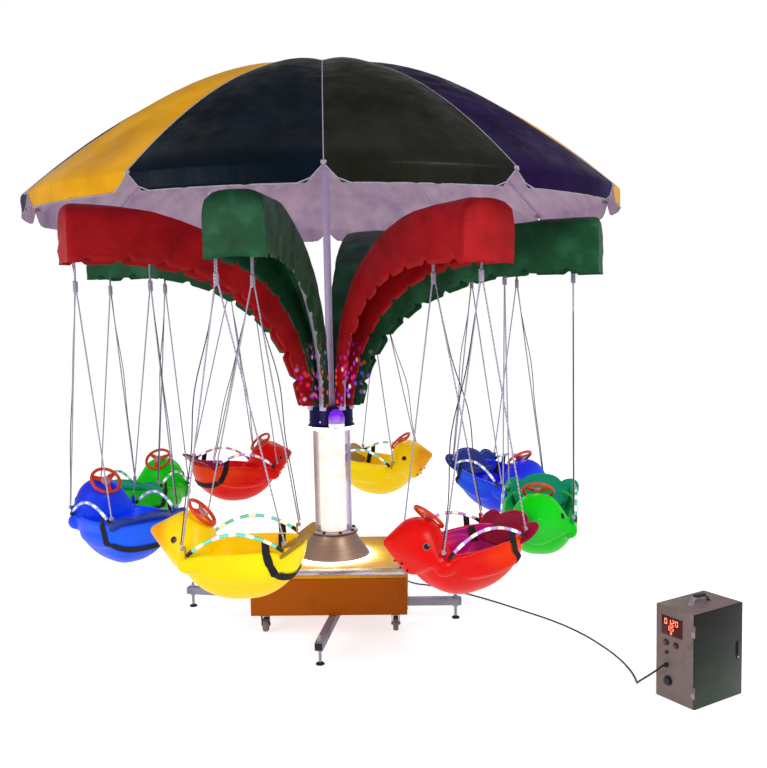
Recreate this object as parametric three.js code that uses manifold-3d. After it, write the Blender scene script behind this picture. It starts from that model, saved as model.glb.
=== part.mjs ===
// A children's chair swing ride. Eight bird-shaped seats hang on ropes from curved arms that turn on a
// lit column, under a round canopy with twelve ribs. A control cabinet stands beside it on its own cable.
// Millimetres, +Z up. The floor is Z = 0, and the front of the ride faces -Y.

import * as THREE from 'three';
import { mergeVertices } from 'three/addons/utils/BufferGeometryUtils.js';
import Module from 'manifold-3d';

const wasm = await Module();
wasm.setup();

const GAP = 0.3; // between pieces that touch

// Where the ride's own axis stands, so that the origin is in the middle of ride and cabinet together
const RIDE_X = -98;

// Base
const BASE_TURN = -5; // degrees, how far the base is turned from square to the front
const HOUSING_WIDTH = 780;
const HOUSING_BOTTOM = 112;
const HOUSING_TOP = 314;
const HOUSING_EDGE = 6;
const BEAM = 40; // square tube of an outrigger
const BEAM_OVERHANG = 28; // how far a beam runs on past its levelling screw
// Each outrigger was swung out by hand: its pad's place, its direction (0 is the front) and its length
const OUTRIGGERS = [
  { name: 'outrigger_front', pad: [-75, -726], turn: -10, length: 480 },
  { name: 'outrigger_right', pad: [625, -163], turn: 85, length: 400 },
  { name: 'outrigger_back', pad: [111, 726], turn: 170, length: 480 },
  { name: 'outrigger_left', pad: [-785, 190], turn: 254, length: 480 },
];
const SCREW_RADIUS = 7;
const SCREW_TOP = 136;
const NUT_RADIUS = 13;
const NUT_HEIGHT = 10;
const PAD_RADIUS = 21;
const PAD_HEIGHT = 9;
const CASTER_INSET = 62; // from the housing's edges to the swivel axis
const CASTER_TRAIL = 26;
const WHEEL_RADIUS = 37;
const WHEEL_WIDTH = 24;
const WHEEL_LIFT = 5; // the casters hang clear of the floor while the ride stands on its pads
const AXLE_RADIUS = 5;
const FORK_GAP = 5; // between the wheel and the fork's cheeks
const FORK_WALL = 3;
const SWIVEL_PIN_RADIUS = 7;

// Column
const BELL_RADIUS = 190;
const FLANGE_RADIUS = 125;
const FLANGE_BOTTOM = 442;
const FLANGE_TOP = 454;
const BOLT_CIRCLE = 112;
const RING_LIGHT_RADIUS = 202;
const RING_LIGHT_SECTION = 8;
const SLEEVE_RADIUS = 98;
const SLEEVE_WALL = 5;
const CORE_RADIUS = 69;
const COLUMN_TOP = 988; // top of the sleeve, where the bearing cap sits
const BEARING_CAP = 12;
const SPINDLE_RADIUS = 24;
const SPINDLE_DEPTH = 60;

// Turning head
const COLLAR_BOTTOM = 1011;
const COLLAR_TOP = 1117;
const COLLAR_RADIUS = 114;
const COLLAR_LIP = 8;
// Clamped by hand, so not quite 45 degrees apart
const ARM_AZIMUTHS = [-66, -20, 30, 69, 118, 165, -150, -107];
const ARM_ROOT = 85; // radius at which an arm leaves the collar
const ARM_END = 1270; // radius at which it is level
const ARM_FOOT = 1100;
// Bent and covered by hand: the height of each cover's top and the radius of its outer end
const ARM_CRESTS = [2115, 2090, 2060, 2030, 2080, 2115, 2090, 2070];
const COVER_TIPS = [1322, 1316, 1316, 1390, 1320, 1330, 1320, 1320];
const COVER_SLIPS = [50, 105, 0, 0, 0, 0, 0, 0]; // how far each outer end has slipped sideways
const ARM_ROUNDNESS = 2.25; // exponent of the superellipse that an arm follows
const ARM_STEPS = 8;
const ARM_WIDTH = 36;
const ARM_DEPTH = 35;
const COVER_WALL = 5;
const COVER_HALF_WIDTH = 130;
const COVER_HUB_HALF_WIDTH = 26;
const COVER_HUB_DROP = 85;
const COVER_DROP = 266;
const HEM_RUNS = 10; // straight runs of a cover's hem, with a small notch between two of them
const NOTCH_SHARE = 0.26; // of a run
const NOTCH_DEPTH = 30;
const LAMP_AZIMUTH = 10;
const LAMP_RADIUS = 42;
const LAMP_HEIGHT = 98;

// Canopy
const RIBS = 12;
const CANOPY_RADIUS = 1475;
const CANOPY_TOP = 2845;
const CANOPY_RIM = 2155;
const CANOPY_CURVE = 1.85; // exponent of the fall from the top to the rim
const CANOPY_THICKNESS = 4;
const CANOPY_BULGE = 26; // how far a panel stands above its ribs
const VALANCE = 78;
const CANOPY_RADII = [355, 690, 985, 1250, 1475];
const RIB_WIDTH = 12;
const RIB_DEPTH = 12;
const RIB_END = 1461;
const CROWN_RADIUS = 40;
const CROWN_HEIGHT = 50;
const POLE_RADIUS = 19;
const RUNNER_Z = 2390;
const RUNNER_HEIGHT = 60;
const STRETCHER_RADIUS = 5;
const STRETCHER_REACH = 800;

// Seats, in a frame of their own: heading +X, +Y outward, Z = 0 at the lowest point
const SEAT_COLOURS = ['blue', 'yellow', 'red', 'green', 'blue', 'yellow', 'red', 'green'];
// How far each seat has twisted on its ropes, how far its nose hangs down, and how high it hangs
const SEAT_YAWS = [16, 12, -4, 6, 5, -18, 0, 4];
const SEAT_PITCHES = [1, 3, 6, 10, 11, 5, 7, 7];
const SEAT_HEIGHTS = [438, 422, 385, 402, 410, 422, 438, 426];
const SEAT_SHIFTS = [0, 0, -25, 0, 0, 0, -80, 0]; // how far each hangs forward of its ropes' upper ends
const TILT_HEIGHT = 200; // of the point that a seat is tilted about
const SEAT_RADIUS = 1094; // from the axis to the middle of a seat
const SEAT_RIM = 225;
const HULL = { at: [0, 0, 240], front: 266, rear: 265, half: 185, high: 240, square: 2.8 };
const TUB = { at: [0, 0, 262], front: 170, rear: 222, half: 166, high: 238, square: 2.8 };
const SKULL = { at: [228, 0, 268], front: 112, rear: 108, half: 118, high: 114, square: 2.1 };
const BEAK = { at: [366, 0, 308], front: 26, rear: 26, half: 34, high: 22, square: 2 };
const CHIN = { at: [268, 0, 184], front: 44, rear: 50, half: 62, high: 38, square: 2 };
const COWL = { at: [205, 0, 215], front: 90, rear: 85, half: 162, high: 30, square: 2.6 };
const WING = { at: [196, 146, 190], front: 48, rear: 56, half: 38, high: 38, square: 2 };
const TAIL_ROOT = [-150, 0, 170];
const TAIL_SLOPE = 32; // degrees
const TAIL_THICKNESS = 14;
// One half of the tail fan, from its root to its middle: how far back along the plate, and how far out
const TAIL_OUTLINE = [
  [0, 100], [40, 150], [72, 180], [112, 190], [145, 182], [166, 155], [166, 130], [150, 100], [172, 80],
  [192, 45], [200, 0],
];
const WHEEL_CENTRE = [165, 0, 372];
const COLUMN_END = [222, 0, 322];
const STEERING_RADIUS = 70;
const STEERING_RIM = 8;
const STEERING_LEAN = 49; // degrees, the wheel's face leans back from flat

// Ropes
const ROPE_HALF_SPACING = 165; // from a seat's middle to the ropes at either side
const ROPE_REACH = 210; // from a seat's middle to the ropes' lower ends, fore and aft
const LOWER_PIVOT = 262; // above the seat's lowest point
const HANG_DROP = 98; // from the top of a cover to the ropes' upper ends
const KNOT_Z = 1746;
const ROPE_RADIUS = 3.5;
const DOUBLED_ROPE_RADIUS = 5;
const KNOT_RADIUS = 15;
const UPPER_EYE = { radius: 9, length: 22 };
const LOWER_EYE = { radius: 7, length: 14 };
const EYE_GAP = 0.5;
const UPPER_LUG = { thick: 6, wide: 24, below: 11, outerTop: 68, innerTop: 36 };
const LOWER_LUG = { thick: 5, from: 146, to: 172, foot: 205, above: 8 };

// Control cabinet
const CABINET_CENTRE = [1501, -1212]; // from the ride's axis
const CABINET_TURN = 28.8;
const CABINET_WIDTH = 293; // along the door side
const CABINET_DEPTH = 197;
const CABINET_HEIGHT = 389;
const CABINET_WALL = 8;
const DOOR_THICKNESS = 8;
const HINGE_OUT = 3; // from the front panel to the door's hinge line
const HINGE_RADIUS = 5;
const KNUCKLE_RADIUS = 3.4;
const HINGE_LENGTH = 24;
const HINGE_HEIGHTS = [70, 320];
const CARRY_HANDLE = { length: 120, rise: 34, radius: 6 };
const CABLE_RADIUS = 4;
const CABLE_END_GAP = 0.5;
const GLAND_RADIUS = 9;
const GLAND_LENGTH = 16;
const HOUSING_GLAND = [300, 165]; // along the housing's back, and height
const CABINET_GLAND = [42, 144]; // along the cabinet's front panel, and height
// The cable drops behind the housing, lies on the floor in a wide bend and rises to the cabinet's socket.
const CABLE_ROUTE = [
  [390, 452, 70],
  [420, 462, 22],
  [466, 446, 6],
  [530, 408, 5],
  [606, 352, 4.6],
  [733, 222, 4.6],
  [858, 75, 4.6],
  [992, -108, 4.6],
  [1116, -290, 4.6],
  [1202, -466, 4.6],
  [1256, -640, 4.6],
  [1286, -790, 4.6],
  [1296, -930, 4.6],
  [1290, -1030, 5],
  [1280, -1090, 8],
  [1268, -1145, 34],
];

const rad = THREE.MathUtils.degToRad;
const vector = (x, y, z) => new THREE.Vector3(x, y, z);

// A geometry as a solid that can be joined and cut
function solid(geometry) {
  const bare = geometry.clone();
  for (const name of Object.keys(bare.attributes)) {
    if (name !== 'position') bare.deleteAttribute(name);
  }
  const merged = mergeVertices(bare, 1e-3);
  const index = merged.index.array;
  const triangles = [];
  for (let i = 0; i < index.length; i += 3) {
    const [a, b, c] = [index[i], index[i + 1], index[i + 2]];
    if (a !== b && b !== c && c !== a) triangles.push(a, b, c);
  }
  const vertProperties = new Float32Array(merged.attributes.position.array);
  const triVerts = new Uint32Array(triangles);
  return new wasm.Manifold(new wasm.Mesh({ numProp: 3, vertProperties, triVerts }));
}

function geometryOf(manifold) {
  const mesh = manifold.getMesh();
  const geometry = new THREE.BufferGeometry();
  geometry.setAttribute('position', new THREE.BufferAttribute(new Float32Array(mesh.vertProperties), 3));
  geometry.setIndex(new THREE.BufferAttribute(new Uint32Array(mesh.triVerts), 1));
  return geometry;
}

const join = (...geometries) => geometryOf(geometries.map(solid).reduce((a, b) => a.add(b)));
const cut = (geometry, ...cutters) => (
  geometryOf(cutters.map(solid).reduce((a, b) => a.subtract(b), solid(geometry)))
);

function box(size, centre) {
  return new THREE.BoxGeometry(...size).translate(...centre);
}

// A straight round bar from one point to another
function rod(from, to, radius, sides = 6) {
  const [a, b] = [vector(...from), vector(...to)];
  const along = b.clone().sub(a);
  const bar = new THREE.CylinderGeometry(radius, radius, along.length(), sides);
  const turn = new THREE.Quaternion().setFromUnitVectors(vector(0, 1, 0), along.normalize());
  return bar.applyQuaternion(turn).translate(...a.add(b).multiplyScalar(0.5).toArray());
}

// A profile of [radius, height] turned round the Z axis, starting at -Y
function turned(profile, segments = 24) {
  const points = profile.map(([r, z]) => new THREE.Vector2(r, z));
  return new THREE.LatheGeometry(points, segments).rotateX(Math.PI / 2);
}

// A ring with a square-cornered section
function ring(inner, outer, bottom, top, segments = 24) {
  const section = [[inner, bottom], [outer, bottom], [outer, top], [inner, top], [inner, bottom]];
  return turned(section, segments);
}

function drum(radius, bottom, top, segments = 24) {
  return turned([[0, bottom], [radius, bottom], [radius, top], [0, top]], segments);
}

// An outline of [radius, height] made into a plate across X, with the radius running along -Y
function radialPlate(outline, width) {
  const shape = new THREE.Shape(outline.map(([r, z]) => new THREE.Vector2(r, z)));
  const plate = new THREE.ExtrudeGeometry(shape, { depth: width, bevelEnabled: false });
  const frame = new THREE.Matrix4().makeBasis(vector(0, -1, 0), vector(0, 0, 1), vector(-1, 0, 0));
  return plate.applyMatrix4(frame).translate(width / 2, 0, 0);
}

// An egg with its own lengths to the front and rear, squared off in plan
function egg({ at, front, rear, half, high, square }, around = 16, down = 8) {
  const shape = new THREE.SphereGeometry(1, around, down).rotateX(Math.PI / 2);
  const place = shape.attributes.position;
  for (let i = 0; i < place.count; i += 1) {
    const [x, y, z] = [place.getX(i), place.getY(i), place.getZ(i)];
    const flat = Math.hypot(x, y);
    const plan = Math.abs(x / flat) ** square + Math.abs(y / flat) ** square;
    const swell = flat < 1e-6 ? 1 : plan ** (-1 / square);
    place.setXYZ(i, x * swell * (x > 0 ? front : rear), y * swell * half, z * high);
  }
  return shape.translate(...at);
}

const object = new THREE.Group();
const ride = new THREE.Group();
ride.position.x = RIDE_X;
object.add(ride);
const base = new THREE.Group();
base.rotation.z = rad(BASE_TURN);
ride.add(base);

const MATERIALS = {
  orangePaint: { color: 0xa65310, roughness: 0.45, metalness: 0.1 },
  greySteel: { color: 0x77718a, roughness: 0.4, metalness: 0.8 },
  rubber: { color: 0x1c1a24, roughness: 0.7, metalness: 0 },
  bronze: { color: 0x9b7f70, roughness: 0.35, metalness: 0.6 },
  lightWhite: { color: 0xfffdf2, roughness: 0.4, metalness: 0 },
  clearSleeve: { color: 0xc7a9c4, roughness: 0.1, metalness: 0 },
  navyPaint: { color: 0x1c1858, roughness: 0.35, metalness: 0.2 },
  redFabric: { color: 0x9b1216, roughness: 0.6, metalness: 0 },
  greenFabric: { color: 0x0e4a20, roughness: 0.6, metalness: 0 },
  lavenderSteel: { color: 0xb9a8cc, roughness: 0.3, metalness: 0.7 },
  canopyFabric: { color: 0x24241a, roughness: 0.4, metalness: 0 },
  violetLens: { color: 0x9a4fe0, roughness: 0.1, metalness: 0 },
  rope: { color: 0x6d6a80, roughness: 0.8, metalness: 0 },
  blue: { color: 0x1550f0, roughness: 0.25, metalness: 0 },
  yellow: { color: 0xffc800, roughness: 0.25, metalness: 0 },
  red: { color: 0xf01010, roughness: 0.25, metalness: 0 },
  green: { color: 0x05d010, roughness: 0.25, metalness: 0 },
  cabinetSteel: { color: 0xa898a4, roughness: 0.4, metalness: 0.6 },
  doorSteel: { color: 0x2c3c3a, roughness: 0.2, metalness: 0.6 },
  cable: { color: 0x101410, roughness: 0.6, metalness: 0 },
};

function add(parent, name, geometry, material) {
  const mesh = new THREE.Mesh(geometry, new THREE.MeshStandardMaterial(MATERIALS[material]));
  mesh.name = name;
  parent.add(mesh);
  return mesh;
}

// Base housing, with the gland that the cable comes out of at its back
{
  const half = HOUSING_WIDTH / 2;
  const [glandX, glandZ] = HOUSING_GLAND;
  const top = HOUSING_TOP - HOUSING_EDGE;
  const shape = new THREE.Shape([
    new THREE.Vector2(-half + HOUSING_EDGE, -half),
    new THREE.Vector2(half - HOUSING_EDGE, -half),
    new THREE.Vector2(half, -half + HOUSING_EDGE),
    new THREE.Vector2(half, half - HOUSING_EDGE),
    new THREE.Vector2(half - HOUSING_EDGE, half),
    new THREE.Vector2(-half + HOUSING_EDGE, half),
    new THREE.Vector2(-half, half - HOUSING_EDGE),
    new THREE.Vector2(-half, -half + HOUSING_EDGE),
  ]);
  const walls = new THREE.ExtrudeGeometry(shape, { depth: top - HOUSING_BOTTOM, bevelEnabled: false });
  walls.translate(0, 0, HOUSING_BOTTOM);
  const lidWidth = HOUSING_WIDTH - 2 * HOUSING_EDGE;
  const lid = box([lidWidth, lidWidth, 2 * HOUSING_EDGE], [0, 0, top]);
  const gland = rod([glandX, half - 5, glandZ], [glandX, half + GLAND_LENGTH, glandZ], GLAND_RADIUS, 8);
  add(base, 'base_housing', join(walls, lid, gland), 'orangePaint');
}

// Outriggers: a square tube under the housing, with a levelling screw and a round pad at its end
for (const { name, pad: stand, turn, length } of OUTRIGGERS) {
  const top = HOUSING_BOTTOM - GAP;
  const beam = box([BEAM, length + BEAM_OVERHANG, BEAM], [0, (length - BEAM_OVERHANG) / 2, top - BEAM / 2]);
  const screw = rod([0, 0, PAD_HEIGHT / 2], [0, 0, SCREW_TOP], SCREW_RADIUS, 8);
  const nut = drum(NUT_RADIUS, top - BEAM - NUT_HEIGHT, top - BEAM + 5, 6);
  const pad = turned([
    [0, 0], [PAD_RADIUS, 0], [PAD_RADIUS, 4], [PAD_RADIUS - 5, PAD_HEIGHT], [0, PAD_HEIGHT + 5],
  ], 16);
  const mesh = add(ride, name, join(beam, screw, nut, pad), 'greySteel');
  mesh.position.set(...stand, 0);
  mesh.rotation.z = rad(turn);
}

// Casters: a fork that swivels on a pin in a plate below the housing, and a wheel on its axle
const corner = HOUSING_WIDTH / 2 - CASTER_INSET;
const axleZ = WHEEL_RADIUS + WHEEL_LIFT;
[[-1, -1], [1, -1], [1, 1], [-1, 1]].forEach(([sx, sy], i) => {
  const caster = new THREE.Group();
  caster.position.set(sx * corner, sy * corner, 0);
  base.add(caster);
  const crown = HOUSING_BOTTOM - 14;
  const cheekX = WHEEL_WIDTH / 2 + FORK_GAP + FORK_WALL / 2;
  const plate = box([2 * cheekX + FORK_WALL, 56, 6], [0, 4, crown - 3]);
  const cheeks = [-1, 1].map((side) => {
    const [inside, outside] = [side * (cheekX - FORK_WALL / 2), side * (cheekX + 5)];
    return join(
      box([FORK_WALL, 34, crown - axleZ + 10], [side * cheekX, CASTER_TRAIL - 8, (crown + axleZ - 10) / 2]),
      rod([inside, CASTER_TRAIL, axleZ], [outside, CASTER_TRAIL, axleZ], 8, 6),
    );
  });
  const axle = rod([-cheekX, CASTER_TRAIL, axleZ], [cheekX, CASTER_TRAIL, axleZ], AXLE_RADIUS, 8);
  const pin = drum(SWIVEL_PIN_RADIUS, crown - 3, HOUSING_BOTTOM - GAP, 8);
  const race = drum(22, crown - 1, HOUSING_BOTTOM - 6, 8);
  const brake = box([18, 44, 5], [0, 48, crown - 4]);
  const fork = join(plate, ...cheeks, axle, pin, race, brake);
  add(caster, `caster_fork_${i + 1}`, fork, 'greySteel');
  const half = WHEEL_WIDTH / 2;
  const bore = AXLE_RADIUS + EYE_GAP;
  const tyre = turned([
    [bore, -half - 3], [14, -half - 3], [WHEEL_RADIUS - 5, -half], [WHEEL_RADIUS, -half + 5],
    [WHEEL_RADIUS, half - 5], [WHEEL_RADIUS - 5, half], [14, half + 3], [bore, half + 3], [bore, -half - 3],
  ], 12);
  tyre.rotateY(Math.PI / 2).translate(0, CASTER_TRAIL, axleZ);
  add(caster, `caster_wheel_${i + 1}`, tyre, 'rubber');
});

// Column: a bell foot with a bolted flange, a ring light round it, a glowing core in a clear sleeve
{
  const foot = turned([
    [0, HOUSING_TOP + GAP], [BELL_RADIUS, HOUSING_TOP + GAP], [BELL_RADIUS, HOUSING_TOP + 14],
    [172, 350], [140, 398], [118, 430], [116, FLANGE_BOTTOM],
    [FLANGE_RADIUS, FLANGE_BOTTOM], [FLANGE_RADIUS, FLANGE_TOP], [0, FLANGE_TOP],
  ], 24);
  const bolts = [];
  for (let i = 0; i < 8; i += 1) {
    const at = rad(22.5 + 45 * i);
    const bolt = drum(6, FLANGE_TOP - 2, FLANGE_TOP + 7, 6);
    bolts.push(bolt.translate(BOLT_CIRCLE * Math.sin(at), -BOLT_CIRCLE * Math.cos(at), 0));
  }
  add(base, 'column_foot', join(foot, ...bolts), 'bronze');
  const inner = RING_LIGHT_RADIUS - RING_LIGHT_SECTION;
  const outer = RING_LIGHT_RADIUS + RING_LIGHT_SECTION;
  const low = HOUSING_TOP + GAP;
  const ringLight = turned([
    [inner, low], [outer, low], [outer, low + 9],
    [RING_LIGHT_RADIUS, low + 14], [inner, low + 9], [inner, low],
  ], 24);
  add(base, 'foot_ring_light', ringLight, 'lightWhite');
  const sleeve = ring(SLEEVE_RADIUS - SLEEVE_WALL, SLEEVE_RADIUS, FLANGE_TOP + GAP, COLUMN_TOP);
  add(base, 'column_sleeve', sleeve, 'clearSleeve');
  const capTop = COLUMN_TOP + GAP + BEARING_CAP;
  const core = join(
    drum(CORE_RADIUS, FLANGE_TOP + GAP, COLUMN_TOP + GAP + 2),
    drum(SLEEVE_RADIUS + 4, COLUMN_TOP + GAP, capTop),
  );
  const bore = drum(SPINDLE_RADIUS + EYE_GAP, capTop - SPINDLE_DEPTH - 2, capTop + 5, 16);
  add(base, 'column_light', cut(core, bore), 'lightWhite');
}

// Points along the top of an arm's cover, moved in by a drop square to the curve
function armCurve(crest, drop) {
  const [across, up] = [ARM_END - ARM_ROOT, crest - ARM_FOOT];
  const power = 2 / ARM_ROUNDNESS;
  const points = [];
  for (let i = 0; i <= ARM_STEPS; i += 1) {
    const t = (Math.PI / 2) * (i / ARM_STEPS);
    const [r, z] = [ARM_END - across * Math.cos(t) ** power, ARM_FOOT + up * Math.sin(t) ** power];
    const steep = across * Math.sin(t) * Math.max(Math.cos(t), 1e-9) ** (power - 1);
    const rise = up * Math.cos(t) * Math.max(Math.sin(t), 1e-9) ** (power - 1);
    const length = Math.hypot(steep, rise);
    points.push([r + (drop * rise) / length, z - (drop * steep) / length]);
  }
  return points;
}

// Half the width of a cover at a radius: narrow at the hub, wide at the tip
function coverHalfWidth(r) {
  const t = THREE.MathUtils.clamp((r - ARM_ROOT) / 900, 0, 1);
  return COVER_HUB_HALF_WIDTH + (COVER_HALF_WIDTH - COVER_HUB_HALF_WIDTH) * t ** 0.7;
}

// The rounded upper corner of a cover's outer end, from the end's foot inward
function coverCorner(crest, tip, drop) {
  const rounding = [[0, 42], [4, 16], [16, 4]];
  return rounding.map(([inward, down]) => [tip - inward - drop, crest - down - drop]);
}

// A fabric cover: an upturned trough over its arm, with notched lower edges and a closed outer end
function armCover(crest, tip, slip) {
  const lowest = COLLAR_TOP + 6;
  const top = armCurve(crest, 0);
  top[0] = [ARM_ROOT, lowest];
  const hem = (s) => {
    const drop = COVER_HUB_DROP + (COVER_DROP - COVER_HUB_DROP) * s ** 0.8;
    const edge = armCurve(crest, drop);
    const at = s * ARM_STEPS;
    const i = Math.min(Math.floor(at), ARM_STEPS - 1);
    const [r, z] = edge[i].map((value, axis) => value + (edge[i + 1][axis] - value) * (at - i));
    return [r, Math.max(z, lowest)];
  };
  const edge = [hem(0)];
  for (let i = 1; i < HEM_RUNS; i += 1) {
    const [r, z] = hem((i - NOTCH_SHARE / 2) / HEM_RUNS);
    edge.push(hem((i - NOTCH_SHARE) / HEM_RUNS));
    edge.push([r - NOTCH_DEPTH / 3, z + NOTCH_DEPTH]);
    edge.push(hem(i / HEM_RUNS));
  }
  edge.push(hem(1), [tip, crest - COVER_DROP]);
  const outline = [...edge, ...coverCorner(crest, tip, 0), ...top.reverse()];
  const inner = armCurve(crest, COVER_WALL);
  const below = ARM_FOOT - 100;
  const open = [[inner[0][0], below], [tip - COVER_WALL, below]];
  const hollow = [...open, ...coverCorner(crest, tip, COVER_WALL), ...inner.reverse()];
  const innerWidth = 2 * (COVER_HALF_WIDTH - COVER_WALL - 1);
  const shell = cut(radialPlate(outline, 2 * COVER_HALF_WIDTH), radialPlate(hollow, innerWidth));
  const place = shell.attributes.position;
  for (let i = 0; i < place.count; i += 1) {
    const r = -place.getY(i);
    const sideways = slip * Math.max((r - ARM_ROOT) / (tip - ARM_ROOT), 0) ** 3;
    place.setX(i, (place.getX(i) / COVER_HALF_WIDTH) * coverHalfWidth(r) + sideways);
  }
  return shell;
}

// A curved arm of flat steel tube
function arm(crest) {
  const top = armCurve(crest, COVER_WALL + GAP);
  const bottom = armCurve(crest, COVER_WALL + GAP + ARM_DEPTH);
  top[0][1] = COLLAR_TOP - 20;
  bottom[0][1] = COLLAR_TOP - 20;
  const end = ARM_END + 4;
  const high = crest - COVER_WALL - GAP - 3;
  const outline = [...bottom, [end, high - ARM_DEPTH], [end, high], ...top.reverse()];
  return radialPlate(outline, ARM_WIDTH);
}

// The floor under a seat: heading +X and +Y outward become directions of the ride
function hangingFrame(i) {
  const azimuth = rad(ARM_AZIMUTHS[i]);
  const frame = new THREE.Matrix4().makeRotationZ(azimuth + Math.PI + rad(SEAT_YAWS[i]));
  return frame.setPosition(SEAT_RADIUS * Math.sin(azimuth), -SEAT_RADIUS * Math.cos(azimuth), 0);
}

// The seat's own frame in the one above: lifted, with its nose tilted down
function seatFrame(i) {
  const pitch = rad(SEAT_PITCHES[i]);
  const [sunk, level] = [TILT_HEIGHT * Math.sin(pitch), TILT_HEIGHT * (1 - Math.cos(pitch))];
  const forward = SEAT_SHIFTS[i] - sunk;
  return new THREE.Matrix4().makeRotationY(pitch).setPosition(forward, 0, SEAT_HEIGHTS[i] + level);
}

// The upper end of a seat's ropes at one side, in the frame of the floor under it
function ropeTop(i, side) {
  const y = side * ROPE_HALF_SPACING;
  return vector(y * Math.tan(rad(SEAT_YAWS[i])), y, ARM_CRESTS[i] - HANG_DROP);
}

// Turning head: the collar with its spindle, eight arms, and a lug beside each rope's upper eye
{
  const lipRadius = COLLAR_RADIUS + COLLAR_LIP;
  const collar = turned([
    [0, COLLAR_BOTTOM], [lipRadius, COLLAR_BOTTOM], [lipRadius, COLLAR_BOTTOM + 6],
    [COLLAR_RADIUS, COLLAR_BOTTOM + 14], [COLLAR_RADIUS, COLLAR_TOP], [0, COLLAR_TOP],
  ], 32);
  const spindleEnd = COLUMN_TOP + BEARING_CAP - SPINDLE_DEPTH;
  const spindle = drum(SPINDLE_RADIUS, spindleEnd, COLLAR_BOTTOM + 5, 16);
  const pieces = [collar, spindle];
  const lampAt = rad(LAMP_AZIMUTH);
  const shelf = box([30, 60, 5], [0, -COLLAR_RADIUS - 20, COLLAR_BOTTOM + 2.5]).rotateZ(lampAt);
  pieces.push(shelf);
  ARM_AZIMUTHS.forEach((azimuth, i) => {
    pieces.push(arm(ARM_CRESTS[i]).rotateZ(rad(azimuth)));
    const apart = UPPER_EYE.length / 2 + EYE_GAP + UPPER_LUG.thick / 2;
    for (const side of [-1, 1]) {
      const low = -UPPER_LUG.below;
      const high = side > 0 ? UPPER_LUG.outerTop : UPPER_LUG.innerTop;
      const lug = box([UPPER_LUG.thick, UPPER_LUG.wide, high - low], [-apart, 0, (high + low) / 2]);
      lug.rotateY(rad(SEAT_PITCHES[i])).translate(...ropeTop(i, side));
      pieces.push(lug.applyMatrix4(hangingFrame(i)));
    }
  });
  add(ride, 'turning_head', join(...pieces), 'navyPaint');
  const lamp = turned([
    [0, 0], [LAMP_RADIUS * 0.7, 3], [LAMP_RADIUS * 0.95, 16], [LAMP_RADIUS, 30], [LAMP_RADIUS, 56],
    [LAMP_RADIUS * 0.82, 82], [LAMP_RADIUS * 0.42, 94], [0, LAMP_HEIGHT],
  ], 14);
  lamp.translate(0, -lipRadius - LAMP_RADIUS + 6, COLLAR_BOTTOM + 5 + GAP).rotateZ(lampAt);
  add(ride, 'crystal_lamp', lamp, 'violetLens');
}

ARM_AZIMUTHS.forEach((azimuth, i) => {
  const cover = armCover(ARM_CRESTS[i], COVER_TIPS[i], COVER_SLIPS[i]);
  const mesh = add(ride, `arm_cover_${i + 1}`, cover, i % 2 ? 'greenFabric' : 'redFabric');
  mesh.rotation.z = rad(azimuth);
});

// The height of the canopy's underside along a rib
const canopyZ = (r) => CANOPY_TOP - (CANOPY_TOP - CANOPY_RIM) * (r / CANOPY_RADIUS) ** CANOPY_CURVE;

// Canopy: twelve panels that stand above their ribs in the middle, with a valance notched at each rib
{
  const stations = [0, 0.06, 0.33, 0.67, 0.94]; // round one panel, from rib to rib
  const panel = (2 * Math.PI) / RIBS;
  const inner = [[0, CANOPY_TOP], ...CANOPY_RADII.map((r) => [r, canopyZ(r)])];
  const outer = inner.map(([r, z]) => [r, z + CANOPY_THICKNESS]);
  outer[outer.length - 1][0] += CANOPY_THICKNESS;
  const hem = CANOPY_RIM - VALANCE;
  const profile = [
    ...inner, [CANOPY_RADIUS, hem], [CANOPY_RADIUS + CANOPY_THICKNESS, hem], ...outer.reverse(),
  ];
  const canopy = turned(profile, RIBS * stations.length);
  const place = canopy.attributes.position;
  for (let i = 0; i < place.count; i += 1) {
    const [x, y] = [place.getX(i), place.getY(i)];
    let z = place.getZ(i);
    const r = Math.hypot(x, y);
    const step = Math.round((Math.atan2(x, -y) / panel) * stations.length);
    const share = stations[((step % stations.length) + stations.length) % stations.length];
    const angle = (Math.floor(step / stations.length) + share) * panel;
    const middle = Math.sin(Math.PI * share);
    if (z < CANOPY_RIM - 1) z = CANOPY_RIM - VALANCE * Math.min(1, 0.1 + 3.4 * middle);
    else z += CANOPY_BULGE * middle * Math.sin(Math.PI * Math.min(r / CANOPY_RADIUS, 1) ** 1.2);
    place.setXYZ(i, r * Math.sin(angle), -r * Math.cos(angle), z);
  }
  add(ride, 'canopy', geometryOf(solid(canopy)), 'canopyFabric');
}

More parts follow.
